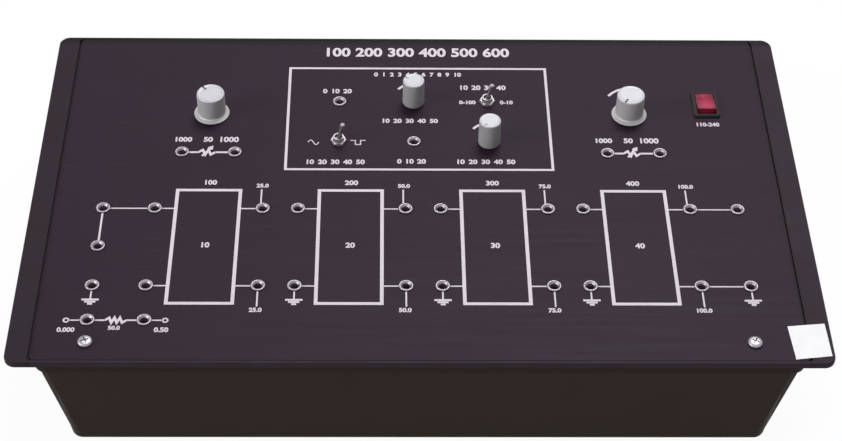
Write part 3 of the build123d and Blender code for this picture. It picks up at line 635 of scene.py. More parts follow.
class TrainerFinish(bpy.types.PropertyGroup):
    """Colours of the outer pieces."""

    case: bpy.props.FloatVectorProperty(
        name="Case", description="Colour of the moulded case",
        default=(0.0212, 0.0120, 0.0080), **COLOR,
    )
    panel: bpy.props.FloatVectorProperty(
        name="Panel", description="Colour of the panel's face",
        default=(0.0221, 0.0126, 0.0225), **COLOR,
    )
    knob: bpy.props.FloatVectorProperty(
        name="Knobs", description="Colour of the knobs' silver lacquer",
        default=(0.60, 0.59, 0.61), **COLOR,
    )
    cap: bpy.props.FloatVectorProperty(
        name="Caps", description="Colour of the knobs' satin caps",
        default=(0.40, 0.395, 0.425), **COLOR,
    )
    nickel: bpy.props.FloatVectorProperty(
        name="Nickel", description="Colour of the sockets and switches",
        default=(0.27, 0.245, 0.27), **COLOR,
    )
    rocker: bpy.props.FloatVectorProperty(
        name="Rocker", description="Colour of the power switch's rocker",
        default=(0.28, 0.006, 0.042), **COLOR,
    )


class TrainerStage(bpy.types.PropertyGroup):
    """The camera and the light."""

    focal_length: bpy.props.FloatProperty(
        name="Lens", description="Focal length on a sensor 36 mm wide", default=85.857,
        min=20.0, max=300.0, subtype="DISTANCE_CAMERA",
    )
    key_power: bpy.props.FloatProperty(
        name="Key light", description="Power of the soft light above the back", default=38.0,
        min=0.0, max=200.0, unit="POWER",
    )
    side_power: bpy.props.FloatProperty(
        name="Side light", description="Power of the low light at the left", default=72.0,
        min=0.0, max=200.0, unit="POWER",
    )
    ambient: bpy.props.FloatProperty(
        name="Ambient", description="Strength of the even light from all round", default=0.28,
        min=0.0, max=2.0,
    )


# The case and the panel


class TRAINER_OT_case(bpy.types.Operator):
    """Gives the case, its feet, its mains inlet and its catches their finishes"""

    bl_idname = "trainer.dress_case"
    bl_label = "Case"

    def execute(self, context):
        color = context.scene.trainer_finish.case
        # The third colour is the lighter tint of what faces up: painted light from above, with dusting
        plastic = grained_case("grained case plastic", color, (0.028, 0.019, 0.030))
        add_object(flared_case(), plastic, stands_for=("case_tub",))
        rubber = moulded_plastic("foot rubber", (0.018, 0.018, 0.018), 0.82, 420.0, 0.00012, 0.2)
        give_finish(rubber, "rubber_feet")
        black = moulded_plastic("inlet moulding", (0.012, 0.012, 0.012), 0.34, 900.0, 0.00003, 0.3)
        give_finish(black, "mains_inlet")
        give_finish(drawn_metal("inlet pin brass", (0.78, 0.72, 0.60), 0.24), "inlet_pins")
        give_finish(drawn_metal("catch zinc", (0.58, 0.59, 0.62), 0.4), "panel_catches")
        return {"FINISHED"}


class TRAINER_OT_panel(bpy.types.Operator):
    """Gives the panel its satin face"""

    bl_idname = "trainer.dress_panel"
    bl_label = "Panel"

    def execute(self, context):
        color = context.scene.trainer_finish.panel
        give_finish(satin_laminate("satin panel face", color, (0.09, 0.08, 0.09)), "front_panel")
        return {"FINISHED"}


# The line diagram

SOCKET_RING = 3.9
BOX_WIDTH = 34.2
BOX_SHIFT = -0.7
BOX_BACK = -2.3
BOX_FRONT = -86.3
TAP_SHIFT = -1.2
TAP_BACK = -1.6
TAP_DROP = 14.6
FEED_WEIGHT = 1.25

# An earth sign: half the length of each bar and how far it lies before the socket, and their
# weight over the thin line and rise
GROUND_BARS = ((4.5, 9.9), (2.9, 11.4), (1.3, 12.9))
GROUND_INK = (1.5, 1.4)

# An open terminal
TERMINAL_REACH = 10.8
TERMINAL_RADIUS = 1.3

# A resistor's length, the height of its zigzag and its peaks, and its two line widths over the
# thin one: the zigzag's and its leads'
FIXED_RESISTOR = (11.0, 1.7, 3, 1.6, 1.2)
VARIABLE_RESISTOR = (9.4, 1.9, 2, 1.75, 1.6)
VARIABLE_SHIFT = -0.9

# The arrow across it: its ends from the middle, and how far back and out its head goes. Shaft
# and head have a weight over the thin line, and rise over the zigzag.
ARROW_TAIL = (-2.4, -3.0)
ARROW_TIP = (2.7, 4.4)
ARROW_HEAD = (2.0, 1.2)
SHAFT_INK = (1.6, 1.6)
HEAD_INK = (1.4, 2.2)

GENERATOR_FRAME = ((-73.5, 14.5), (74.5, 14.5), (74.5, 100.0), (-73.5, 100.0))

# The sine's left end, level, height and length, the square's corners, and the weight of both
SINE = (-61.6, 36.5, 1.9, 6.0)
SQUARE = ((-38.0, 38.1), (-35.1, 38.1), (-35.1, 34.7), (-32.2, 34.7), (-32.2, 38.1), (-29.3, 38.1))
SIGN_WEIGHT = 0.7

# Travel arcs: the angles at their ends, and for each knob how far right of it and behind it the
# arc's middle lies, and its radius
ARC_ENDS = (102, 144)
ARCS = (
    ("load_knob", 3.4, 6.2, 17.1),
    ("amplitude_knob", 2.5, 2.9, 13.7),
    ("frequency_knob", 2.5, 2.9, 13.7),
)


class Ink:
    """The line print in the making, with its line widths and its depth."""

    def __init__(self, sizes):
        self.solid = bmesh.new()
        self.thin, self.depth = sizes.thin_line / MM, sizes.ink_depth / MM
        self.frame, self.box = sizes.frame_line / MM, sizes.box_line / MM

    def stroke(self, points, width, rise=1.0, closed=False):
        """Prints a line of even width through points, mitred at its corners. Where two lines
        cross, one rises over the other by a factor of the depth."""
        spots = [Vector(point) for point in points]
        count = len(spots)
        corners = []
        for index, spot in enumerate(spots):
            ways = []
            if closed or index:
                ways.append((spot - spots[index - 1]).normalized())
            if closed or index < count - 1:
                ways.append((spots[(index + 1) % count] - spot).normalized())
            side = sum((Vector((-way.y, way.x)) for way in ways), Vector((0, 0)))
            if len(ways) > 1:
                side /= 1 + ways[0].dot(ways[1])
            left, right = spot + side * width / 2, spot - side * width / 2
            top = self.depth * rise
            corners.append([
                self.solid.verts.new((point.x * MM, point.y * MM, PANEL_TOP + level * MM))
                for point, level in ((left, 0), (right, 0), (right, top), (left, top))
            ])
        for here, there in zip(corners, corners[1:] + corners[:1] if closed else corners[1:]):
            for side in range(4):
                after = (side + 1) % 4
                self.solid.faces.new((here[side], here[after], there[after], there[side]))
        if not closed:
            self.solid.faces.new(corners[0][::-1])
            self.solid.faces.new(corners[-1])

    def lead(self, start, end, width, trims=(SOCKET_RING, SOCKET_RING)):
        """Prints a straight lead between two places, cut back at each end by a trim."""
        first, last = Vector(start), Vector(end)
        way = (last - first).normalized()
        self.stroke([first + way * trims[0], last - way * trims[1]], width)

    def resistor(self, left, right, middle, sizes):
        """Prints a zigzag about a middle, with a lead from each of two sockets."""
        length, rise, peaks, bold, lead = sizes
        start, end, step = middle - length / 2, middle + length / 2, length / (2 * peaks + 2)
        points = [(start, left.y)]
        for index in range(2 * peaks):
            points.append((start + step * (index + 1.5), left.y + (-rise if index % 2 else rise)))
        self.stroke(points + [(end, left.y)], self.thin * bold)
        self.lead(left, (start, left.y), self.thin * lead, (SOCKET_RING, 0))
        self.lead(right, (end, right.y), self.thin * lead, (SOCKET_RING, 0))

    def ground(self, socket):
        """Prints an earth sign: a stem from the socket, and three shrinking bars."""
        x, y = socket
        self.stroke([(x, y - SOCKET_RING), (x, y - GROUND_BARS[0][1])], self.thin)
        for half, drop in GROUND_BARS:
            bar = [(x - half, y - drop), (x + half, y - drop)]
            self.stroke(bar, self.thin * GROUND_INK[0], GROUND_INK[1])


def section_sockets(index):
    """A section's four sockets, in metres: signal in and out, return in and out."""
    return [SOCKETS[f"{row}_{2 * index + end}"] for row in ("signal", "return") for end in (2, 3)]


def section_middle(index):
    """X of a section's box."""
    inlet, outlet = section_sockets(index)[:2]
    return (inlet.x + outlet.x) / 2 / MM + BOX_SHIFT


def print_sections(ink):
    """The section boxes with the leads of their rows, and the two ends of the line."""
    for index in range(SECTIONS):
        left, right = (section_middle(index) + side * BOX_WIDTH / 2 for side in (-1, 1))
        box = [(left, BOX_FRONT), (right, BOX_FRONT), (right, BOX_BACK), (left, BOX_BACK)]
        ink.stroke(box, ink.box, closed=True)
        spots = [(spot / MM).xy for spot in section_sockets(index)]
        signal_in, signal_out, return_in, return_out = spots
        for inlet, outlet in ((signal_in, signal_out), (return_in, return_out)):
            ink.lead(inlet, (left - ink.box / 2, inlet.y), ink.thin, (SOCKET_RING, 0))
            ink.lead(outlet, (right + ink.box / 2, outlet.y), ink.thin, (SOCKET_RING, 0))
        tap = signal_out.x + TAP_SHIFT
        ink.stroke([(tap, signal_out.y + SOCKET_RING), (tap, TAP_BACK)], ink.thin)
        x, y = return_out
        ink.stroke([(x, y - SOCKET_RING), (x, y - TAP_DROP)], ink.thin)
        if index:
            ink.ground(return_in)
    last = 2 * SECTIONS + 2
    for row in ("signal", "return"):
        ink.lead(socket_at(f"{row}_{last - 1}"), socket_at(f"{row}_{last}"), ink.thin)
    for name in ("return_1", f"return_{last}"):
        ink.ground(socket_at(name))
    ink.lead(socket_at("signal_1"), socket_at("signal_2"), ink.thin)
    ink.lead(socket_at("signal_1"), socket_at("feed_tap"), ink.thin * FEED_WEIGHT)


def print_source(ink):
    """The source's resistor between two sockets, with an open terminal at each end."""
    first, last = socket_at("source_in"), socket_at("source_out")
    ink.resistor(first, last, (first.x + last.x) / 2, FIXED_RESISTOR)
    for socket, side in ((first, -1), (last, 1)):
        end = (socket.x + side * TERMINAL_REACH, socket.y)
        ink.lead(socket, end, ink.thin, (SOCKET_RING, TERMINAL_RADIUS))
        ink.stroke(arc_points(*end, TERMINAL_RADIUS, 0, 360, 28)[:-1], ink.thin, closed=True)


def print_variable_resistor(ink, group):
    """A variable resistor: a zigzag between two sockets, crossed by an arrow."""
    left, right = socket_at(f"{group}_left"), socket_at(f"{group}_right")
    middle = (left.x + right.x) / 2 + VARIABLE_SHIFT
    ink.resistor(left, right, middle, VARIABLE_RESISTOR)
    tail, tip = (Vector((middle + x, left.y + y)) for x, y in (ARROW_TAIL, ARROW_TIP))
    ink.stroke([tail, tip], ink.thin * SHAFT_INK[0], SHAFT_INK[1])
    way = (tip - tail).normalized()
    back, side = way * ARROW_HEAD[0], Vector((-way.y, way.x)) * ARROW_HEAD[1]
    head = [tip - back + side, tip, tip - back - side]
    ink.stroke(head, ink.thin * HEAD_INK[0], HEAD_INK[1])


def print_generator(ink):
    """The generator's frame, and the signs of two waveforms."""
    ink.stroke(GENERATOR_FRAME, ink.frame, closed=True)
    x, y, height, length = SINE
    turns = [step / 12 for step in range(13)]
    sine = [(x + length * part, y + height * sin(2 * pi * part)) for part in turns]
    for sign in (sine, SQUARE):
        ink.stroke(sign, ink.thin * SIGN_WEIGHT)


class TRAINER_OT_diagram(bpy.types.Operator):
    """Prints the line diagram, the generator's frame and the signs"""

    bl_idname = "trainer.print_diagram"
    bl_label = "Diagram"

    def execute(self, context):
        sizes = context.scene.trainer_print
        ink = Ink(sizes)
        print_sections(ink)
        print_source(ink)
        for group in ("source_resistor", "load_resistor"):
            print_variable_resistor(ink, group)
        print_generator(ink)
        for node, right, behind, radius in ARCS:
            x, y = middle_of(node)
            ink.stroke(arc_points(x + right, y + behind, radius, *ARC_ENDS), ink.frame)
        white = printed_ink("white ink", sizes.ink)
        add_object(finished_mesh("line_diagram", ink.solid), white)
        return {"FINISHED"}


# The numbers. Their height and a digit's width are given over the usual numeral, and so is what
# is added round their strokes: so much, and more with the height.

DIGIT = 1.95
CAPITAL = 0.7
WEIGHT = (0.03, 0.036)

# Scales: their numbers, middle, level, width and height
SCALES = (
    (range(100, 700, 100), -0.1, 114.1, 109.0, 2.7),
    (range(11), 0.3, 94.5, 50.5, 1.15),
    (range(0, 30, 10), -45.9, 79.7, 16.5, 1.25),
    (range(0, 30, 10), -3.8, 20.9, 16.0, 1.25),
    (range(10, 60, 10), -4.6, 54.4, 32.0, 1.2),
    (range(10, 60, 10), 37.4, 20.7, 33.0, 1.25),
    (range(10, 60, 10), -46.2, 20.3, 33.0, 1.25),
    (range(10, 50, 10), 37.5, 83.1, 27.0, 1.35),
)

# Single numbers: their text, place and height
FRONT_LABELS = (
    ("0.000", -180.9, -104.9, 1.05), ("0.50", -132.4, -104.9, 1.1), ("50.0", -156.5, -103.6, 0.92),
)
BACK_LABELS = (
    ("0-100", 28.6, 70.4, 1.05), ("0-10", 50.9, 70.4, 1.05), ("110-240", 164.4, 52.2, 1.05),
)

# A section's numbers, two in the middle and one at each outlet: what they count in and end
# with, how far to the right they are set, their level and height
SECTION_LABELS = (
    (10, "", 0.2, -44.3, 1.3), (100, "", 0.3, 3.6, 1.25),
    (25, ".0", -0.8, 1.2, 1.0), (25, ".0", -0.6, -91.0, 1.0),
)

# Numbers in front of the flanged knobs: their text, distance from the knob's middle and height,
# and how far to the right a knob's numbers are set
KNOB_LABELS = (("1000", -14.8, 1.3), ("50", -0.75, 1.35), ("1000", 10.75, 1.45))
KNOB_LABELS_SHIFT = {"source_knob": 0.0, "load_knob": -1.5}
KNOB_LABELS_LEVEL = 38.3


def scale_marks(numbers, x, y, width, factor):
    """A scale's numbers from end to end, with even gaps between them."""
    texts = [str(number) for number in numbers]
    widths = [len(text) * DIGIT * factor for text in texts]
    gap = (width - sum(widths)) / (len(texts) - 1)
    marks, start = [], x - width / 2
    for text, wide in zip(texts, widths):
        marks.append((text, start + wide / 2, y, factor))
        start += wide + gap
    return marks


def numerals():
    """Each plain number with its place and its height."""
    marks = []
    for index in range(SECTIONS):
        middle = section_middle(index)
        _, signal_out, _, return_out = section_sockets(index)
        places = (middle, middle, signal_out.x / MM, return_out.x / MM)
        for x, (step, end, shift, y, factor) in zip(places, SECTION_LABELS):
            marks.append((f"{step * (index + 1)}{end}", x + shift, y, factor))
    marks += FRONT_LABELS
    for node, shift in KNOB_LABELS_SHIFT.items():
        x = middle_of(node)[0] + shift
        marks += [(text, x + off, KNOB_LABELS_LEVEL, factor) for text, off, factor in KNOB_LABELS]
    for scale in SCALES:
        marks += scale_marks(*scale)
    return [*marks, *BACK_LABELS]


def relay_caps(solid):
    """Lays the triangles of level faces anew, so that none is without area."""
    bmesh.ops.triangulate(solid, faces=solid.faces)
    caps = [
        face for face in solid.faces if len({round(vert.co.z, 5) for vert in face.verts}) == 1
    ]
    level = set(caps)
    inner = [edge for edge in solid.edges if level.issuperset(edge.link_faces)]
    bmesh.ops.beautify_fill(solid, faces=caps, edges=inner, method="ANGLE")


class TRAINER_OT_numbers(bpy.types.Operator):
    """Prints the plain numbers"""

    bl_idname = "trainer.print_numbers"
    bl_label = "Numbers"

    def execute(self, context):
        sizes = context.scene.trainer_print
        solid = bmesh.new()
        for text, x, y, factor in numerals():
            curve = bpy.data.curves.new("numeral", "FONT")
            curve.body = text
            curve.size = sizes.numeral * factor / CAPITAL
            curve.align_x = curve.align_y = "CENTER"
            curve.extrude = sizes.ink_depth / 2
            curve.offset = sizes.numeral * (WEIGHT[0] + WEIGHT[1] * factor)
            curve.resolution_u = 4
            helper = in_scene("numeral", curve)
            mesh = evaluated_mesh(helper)
            mesh.transform(on_panel(x, y) @ Matrix.Translation((0, 0, sizes.ink_depth / 2)))
            solid.from_mesh(mesh)
            bpy.data.objects.remove(helper)
            bpy.data.meshes.remove(mesh)
        bmesh.ops.remove_doubles(solid, verts=solid.verts, dist=0.000001)
        relay_caps(solid)
        white = bpy.data.materials["white ink"]
        add_object(finished_mesh("panel_numbers", solid), white)
        return {"FINISHED"}


# Sockets

SOCKET_PROFILE = (
    (0, -15.0), (2.0, -15.0), (2.0, -0.05), (2.08, 0.1), (2.85, 0.78), (2.98, 0.9), (3.1, 0.97),
    (3.3, 1.0), (3.5, 0.98), (3.7, 0.88), (3.84, 0.7), (3.9, 0.48), (3.9, 0.05), (3.84, 0.0),
    (2.78, 0.0, 6), (2.78, -17.6, 6), (2.5, -18.0, 6), (0, -18.0),
)


def socket_row(name):
    """The row of sockets that a socket is one of."""
    if name.startswith("signal") or name == "feed_tap":
        return "signal_socket"
    return "return_socket" if name.startswith("return") else "terminal_socket"


class TRAINER_OT_sockets(bpy.types.Operator):
    """Makes the nickel-plated sockets"""

    bl_idname = "trainer.make_sockets"
    bl_label = "Sockets"

    def execute(self, context):
        nickel = turned_metal("socket nickel", context.scene.trainer_finish.nickel, 0.42)
        for row in ("signal_socket", "return_socket", "terminal_socket"):
            solid = bmesh.new()
            for name, spot in SOCKETS.items():
                if socket_row(name) == row:
                    turn(solid, SOCKET_PROFILE, Matrix.Translation(spot), segments=48)
            add_object(finished_mesh(f"{row}_rings", solid), nickel, stands_for=(f"{row}s",))
        return {"FINISHED"}


# Knobs

FLANGED_PROFILE = (
    (0, 13.5), (3.06, 13.5), (3.06, 4.4), (6.17, 4.4), (6.17, 0.45), (6.25, 0.4), (9.75, 0.4),
    (9.93, 0.48), (10.0, 0.68), (10.0, 0.75), (9.95, 0.9), (9.84, 1.02), (9.65, 1.12), (8.5, 1.84),
    (8.2, 2.08), (8.0, 2.4), (7.9, 2.8), (7.9, 3.1), (7.84, 14.3), (7.83, 14.6), (7.76, 15.0),
    (7.58, 15.36), (7.3, 15.54), (6.95, 15.6), (6.6, 15.56), (6.3, 15.44), (6.1, 15.4), (5.9, 15.4),
    (0, 15.4),
)
SLIM_PROFILE = (
    (0, 13.2), (3.06, 13.2), (3.06, 0.4), (5.95, 0.4), (6.12, 0.46), (6.18, 0.62), (6.2, 0.8),
    (6.2, 1.1), (6.1, 15.4), (6.09, 15.7), (6.02, 16.1), (5.85, 16.4), (5.6, 16.55), (5.3, 16.6),
    (5.0, 16.56), (4.75, 16.46), (4.55, 16.42), (4.35, 16.42), (0, 16.42),
)
FLANGE_TOP = 2.1

# The pointer's groove: its start as a share of the cap's radius, its size, and how far its
# cutter reaches past the cap
POINTER_START = 0.55
POINTER_HALF_WIDTH = 0.6
POINTER_DEPTH = 0.55
OVERSHOOT = 1.0

# How far under the top the cap's rings and the pointer's groove go at most
CAP_DEPTH = 0.45
GROOVE_DEPTH = 0.6

# Knobs: their profile, their pointer's angle, and their cap's radius and height
KNOBS = {
    "source": (FLANGED_PROFILE, 41.0, 7.6, 15.6),
    "load": (FLANGED_PROFILE, 150.0, 7.6, 15.6),
    "amplitude": (SLIM_PROFILE, 63.0, 6.0, 16.6),
    "frequency": (SLIM_PROFILE, 150.0, 6.0, 16.6),
}


def knob_mesh(name, node, profile, pointer, radius, height):
    """A turned knob with its pointer cut into the cap, from a share of its radius to the rim."""
    place = on_panel(*middle_of(node)) @ Matrix.Rotation(radians(pointer), 4, "Z")
    solid, groove = bmesh.new(), bmesh.new()
    turn(solid, profile, place, segments=96)
    half, start, end = POINTER_HALF_WIDTH, radius * POINTER_START, radius + OVERSHOOT
    outline = [(-half, start), (half, start), (half, end), (-half, end)]
    prism(groove, outline, height - POINTER_DEPTH, height + OVERSHOOT, place)
    return without(finished_mesh(name, solid), finished_mesh("groove", groove))


class TRAINER_OT_knobs(bpy.types.Operator):
    """Makes the two flanged and the two slim knobs"""

    bl_idname = "trainer.make_knobs"
    bl_label = "Knobs"

    def execute(self, context):
        colors = context.scene.trainer_finish
        silver = turned_metal("silver lacquer", colors.knob, 0.46, 0.000008, 0.04, 0.25)
        slim = turned_metal(
            "slim knob lacquer", dimmed(colors.knob, 0.8), 0.46, 0.000008, 0.04, 0.25
        )
        # The flange takes the knobs' lacquer darkened: painted shade
        rim = turned_metal("shaded flange lacquer", dimmed(colors.knob, 0.72), 0.5, 0.000008, 0.05, 0.4)
        satin = turned_metal("satin cap", colors.cap, 0.52, 0.000006, 0.03, 0.4, 0.1)
        paint = moulded_plastic("pointer paint", (0.10, 0.10, 0.11), 0.5, 900.0, 0.00001)
        for word, (profile, pointer, radius, height) in KNOBS.items():
            node, flanged = f"{word}_knob", profile is FLANGED_PROFILE
            mesh = knob_mesh(f"{word}_knob_turned", node, profile, pointer, radius, height)
            add_object(mesh, silver if flanged else slim, f"{word}_control", (node,))
            for material in (satin, paint if flanged else satin, rim):
                mesh.materials.append(material)
            for face in mesh.polygons:
                level = (face.center.z - PANEL_TOP) / MM
                depth = height - level
                if face.normal.z > 0.5 and depth < CAP_DEPTH:
                    face.material_index = 1
                elif depth < GROOVE_DEPTH and (face.normal.z > 0.9 or abs(face.normal.z) < 0.05):
                    face.material_index = 2
                # The flange's faces take the darkened lacquer: painted shade
                elif flanged and level < FLANGE_TOP:
                    face.material_index = 3
        brass = drawn_metal("shaft brass", (0.72, 0.58, 0.34), 0.3, (700.0, 700.0, 60.0))
        give_finish(brass, *(f"{word}_shaft" for word in KNOBS))
        return {"FINISHED"}


# Toggles and the power switch

LEVER_PROFILE = (
    (0, -0.88), (1.7, -0.88), (1.9, -0.76), (1.96, -0.5), (1.96, 0.5), (1.9, 0.76), (1.7, 0.88),
    (1.06, 0.95), (1.02, 1.6), (1.04, 3.0), (1.12, 5.4), (1.24, 7.6), (1.36, 9.4), (1.44, 10.7),
    (1.43, 11.2), (1.3, 11.6), (1.02, 11.85), (0.6, 11.97), (0, 12.0),
)
TOGGLE_NUT_PROFILE = (
    (3.06, 0.25), (3.3, 0.0), (3.9, 0.0, 6, 4.0), (3.9, 0.3, 6), (3.9, 1.5, 6),
    (3.82, 2.0, 6, 3.86), (3.3, 2.0), (3.06, 1.75), (3.06, 0.25),
)
LEVER_LEAN = 12.5

# The rocker in its own plane: its size, its hub from front to back, its face's level at the
# middle, its rise towards the ends and its dish, its rounding, and where its painted highlight lies
ROCKER_TILT = -10.0
ROCKER_HALF_LENGTH = 8.2
ROCKER_HALF_WIDTH = 5.3
ROCKER_HUB = ((-8.2, -1.0), (-3.0, -4.0), (3.0, -4.0), (8.2, -1.0))
ROCKER_FACE = (2.0, 1.1, 0.32)
ROCKER_EDGE = 0.35
ROCKER_HIGHLIGHT = Vector((0.0, -1.0, 4.0))


class TRAINER_OT_toggles(bpy.types.Operator):
    """Makes the toggles' levers and nuts"""

    bl_idname = "trainer.make_toggles"
    bl_label = "Toggles"

    def execute(self, context):
        nickel = context.scene.trainer_finish.nickel
        dull = turned_metal("lever nickel", nickel, 0.5, metallic=0.7)
        plain = turned_metal("nut nickel", dimmed(nickel, 1.7), 0.5, metallic=0.8)
        lean = Matrix.Rotation(radians(LEVER_LEAN), 4, "Y")
        nuts = bmesh.new()
        for word in ("waveform", "range"):
            pivot = Vector(JOINTS[f"{word}_tilt"]["pos_m"])
            solid = bmesh.new()
            turn(solid, LEVER_PROFILE, Matrix.Translation(pivot) @ lean, segments=48)
            mesh = finished_mesh(f"{word}_bat_lever", solid)
            add_object(mesh, dull, f"{word}_lever_body", (f"{word}_lever",))
            place = on_panel(pivot.x / MM, pivot.y / MM)
            turn(nuts, TOGGLE_NUT_PROFILE, place, segments=72)
        bmesh.ops.remove_doubles(nuts, verts=nuts.verts, dist=0.000001)
        add_object(finished_mesh("toggle_hex_nuts", nuts), plain, stands_for=("toggle_nuts",))
        bush = drawn_metal("bush nickel", (0.34, 0.32, 0.33), 0.5, (300.0, 300.0, 2400.0), 0.8)
        give_finish(bush, "waveform_toggle", "range_toggle", "resistor_nuts")
        return {"FINISHED"}


class TRAINER_OT_power_switch(bpy.types.Operator):
    """Makes the red rocker and finishes the switch round it"""

    bl_idname = "trainer.make_power_switch"
    bl_label = "Power switch"

    def execute(self, context):
        pivot = Vector(JOINTS["power_rock"]["pos_m"])
        tilt = Matrix.Rotation(radians(ROCKER_TILT), 4, "X")
        # The outline lies upright, from front to back, and the prism runs to the right
        upright = Matrix(((0, 0, 1, 0), (1, 0, 0, 0), (0, 1, 0, 0), (0, 0, 0, 1)))
        level, rise, dish = ROCKER_FACE
        outline = list(ROCKER_HUB)
        for step in range(6, -7, -1):
            off = abs(step / 6)
            height = level + rise * off - dish * sin(pi * off)
            outline.append((ROCKER_HALF_LENGTH * step / 6, height))
        solid = bmesh.new()
        place = Matrix.Translation(pivot) @ tilt @ upright
        prism(solid, outline, -ROCKER_HALF_WIDTH, ROCKER_HALF_WIDTH, place)
        mesh = worked(
            finished_mesh("power_rocker_red", solid), "BEVEL", segments=3,
            width=ROCKER_EDGE * MM, limit_method="ANGLE", angle_limit=radians(30.0),
        )
        color = context.scene.trainer_finish.rocker
        # The rocker's painted highlight is centred a little off its pivot
        red = clear_moulding("red moulding", color, pivot + ROCKER_HIGHLIGHT * MM)
        add_object(mesh, red, "power_rocker_body", ("power_rocker",))
        black = moulded_plastic("bezel moulding", (0.034, 0.029, 0.031), 0.5, 900.0, 0.00003, 0.05)
        give_finish(black, "power_bezel")
        give_finish(drawn_metal("blade brass", (0.80, 0.74, 0.62), 0.26), "power_terminals")
        return {"FINISHED"}


# Screws

SCREW_RADIUS = 3.85
SCREW_ANGLES = (24.0, 61.0)
SCREW_PROFILE = (
    (0, -13.6), (1.3, -13.6), (1.6, -13.2), (1.6, 0.0), (3.75, 0.0), (3.85, 0.12), (3.85, 0.9),
    (3.76, 1.25), (3.5, 1.62), (3.1, 1.93), (2.6, 2.13), (1.9, 2.25), (1.0, 2.29), (0, 2.3),
)

# A quarter of the cross recess, and the levels that it is cut between
CROSS_QUARTER = ((0.42, -0.42), (2.3, -0.3), (2.3, 0.3))
CROSS_LEVELS = (0.9, 3.0)


class TRAINER_OT_screws(bpy.types.Operator):
    """Makes the two panel screws with their cross recesses"""

    bl_idname = "trainer.make_screws"
    bl_label = "Screws"

    def execute(self, context):
        steel = turned_metal("screw steel", (0.34, 0.33, 0.35), 0.42)
        low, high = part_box("panel_screws")
        middle_y = middle_of("panel_screws")[1]
        solid, cross = bmesh.new(), bmesh.new()
        middles = (low[0] / MM + SCREW_RADIUS, high[0] / MM - SCREW_RADIUS)
        for x, angle in zip(middles, SCREW_ANGLES):
            place = on_panel(x, middle_y)
            turn(solid, SCREW_PROFILE, place, segments=64)
            quarters = [Matrix.Rotation(radians(angle + 90 * step), 2) for step in range(4)]
            outline = [way @ Vector(point) for way in quarters for point in CROSS_QUARTER]
            prism(cross, outline, *CROSS_LEVELS, place)
        mesh = without(finished_mesh("pan_screws", solid), finished_mesh("cross", cross))
        add_object(mesh, steel, stands_for=("panel_screws",))
        return {"FINISHED"}


# The label, from its front left corner round to its rear left one. It lies a little off the
# panel, waves, and curls up past a line across its rear right corner.

LABEL_CORNERS = ((189.6, -124.3), (208.3, -122.0), (207.6, -99.9), (188.2, -101.8))
LABEL_THICKNESS = 0.1
LABEL_STEPS = 12
LABEL_OFF = 0.05
LABEL_WAVE = 0.04
LABEL_CURL = 0.5
CURL_FROM = 1.72


def label_mesh(name):
    """A sheet of paper that waves slightly, with one corner that has come up."""
    front_left, front_right, back_right, back_left = map(Vector, LABEL_CORNERS)
    solid, spots, last = bmesh.new(), {}, LABEL_STEPS
    for layer, row, column in product((0, 1), range(last + 1), range(last + 1)):
        u, v = column / last, row / last
        spot = front_left.lerp(front_right, u).lerp(back_left.lerp(back_right, u), v)
        curl = LABEL_CURL * max(0.0, u + v - CURL_FROM) ** 2
        wave = LABEL_WAVE * (1 + sin(7 * u + 4 * v))
        level = PANEL_TOP + (LABEL_OFF + curl + wave + layer * LABEL_THICKNESS) * MM
        spots[layer, row, column] = solid.verts.new((spot.x * MM, spot.y * MM, level))
    for layer, row, column in product((0, 1), range(last), range(last)):
        square = ((row, column), (row, column + 1), (row + 1, column + 1), (row + 1, column))
        solid.faces.new([spots[layer, *corner] for corner in square])
    steps = range(last)
    rim = [(0, step) for step in steps] + [(step, last) for step in steps]
    rim += [(last, last - step) for step in steps] + [(last - step, 0) for step in steps]
    for here, there in zip(rim, rim[1:] + rim[:1]):
        wall = ((0, *here), (0, *there), (1, *there), (1, *here))
        solid.faces.new([spots[corner] for corner in wall])
    return finished_mesh(name, solid)


class TRAINER_OT_label(bpy.types.Operator):
    """Makes the blank paper label over the front right corner"""

    bl_idname = "trainer.make_label"
    bl_label = "Blank label"

    def execute(self, context):
        paper = label_paper("label paper", (0.86, 0.85, 0.87))
        add_object(label_mesh("blank_label"), paper)
        return {"FINISHED"}


# The inner parts: what makes a finish, its settings and the pieces that it goes to

CABLE = 5.4
INNER_FINISHES = (
    (circuit_board, "board laminate", (0.010, 0.075, 0.030), (0.035, 0.16, 0.06),
     ("generator_board", "supply_board")),
    (moulded_plastic, "chip epoxy", (0.012, 0.012, 0.013), 0.6, 1500.0, 0.00004,
     ("generator_chips",)),
    (moulded_plastic, "capacitor sleeve", (0.012, 0.022, 0.09), 0.28, 240.0, 0.00004, 0.5,
     ("generator_capacitors", "supply_capacitors")),
    (wound_core, "transformer core", (0.10, 0.10, 0.11), (0.42, 0.30, 0.05),
     ("mains_transformer",)),
    (fuse_glass, "fuse glass", ("supply_fuse",)),
    (drawn_metal, "clip brass", (0.80, 0.72, 0.52), 0.28, ("fuse_clips", "resistor_lugs")),
    (drawn_metal, "can steel", (0.56, 0.56, 0.57), 0.36, (200.0, 200.0, 1200.0),
     ("resistor_bodies",)),
    (moulded_plastic, "pot moulding", (0.02, 0.10, 0.28), 0.4, 900.0, 0.00003,
     ("board_pot_bodies",)),
    (moulded_plastic, "tie nylon", (0.72, 0.70, 0.62), 0.4, 300.0, 0.00005, 0.5, 0.06,
     ("coil_ties",)),
)


class TRAINER_OT_inner_parts(bpy.types.Operator):
    """Finishes the boards, the supply and the line coils under the panel"""

    bl_idname = "trainer.dress_inner_parts"
    bl_label = "Inner parts"

    def execute(self, context):
        for make, *settings, nodes in INNER_FINISHES:
            give_finish(make(*settings), *nodes)
        low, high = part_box("line_coils")
        coil_diameter = high[1] - low[1]
        pitch = (high[0] - low[0] - coil_diameter) / (SECTIONS - 1)
        middle_y = middle_of("line_coils")[1] * MM
        jacket = wound_cable("coaxial jacket", (0.02, 0.02, 0.021), pitch, middle_y, CABLE * MM)
        give_finish(jacket, "line_coils")
        return {"FINISHED"}


# The stage, in metres

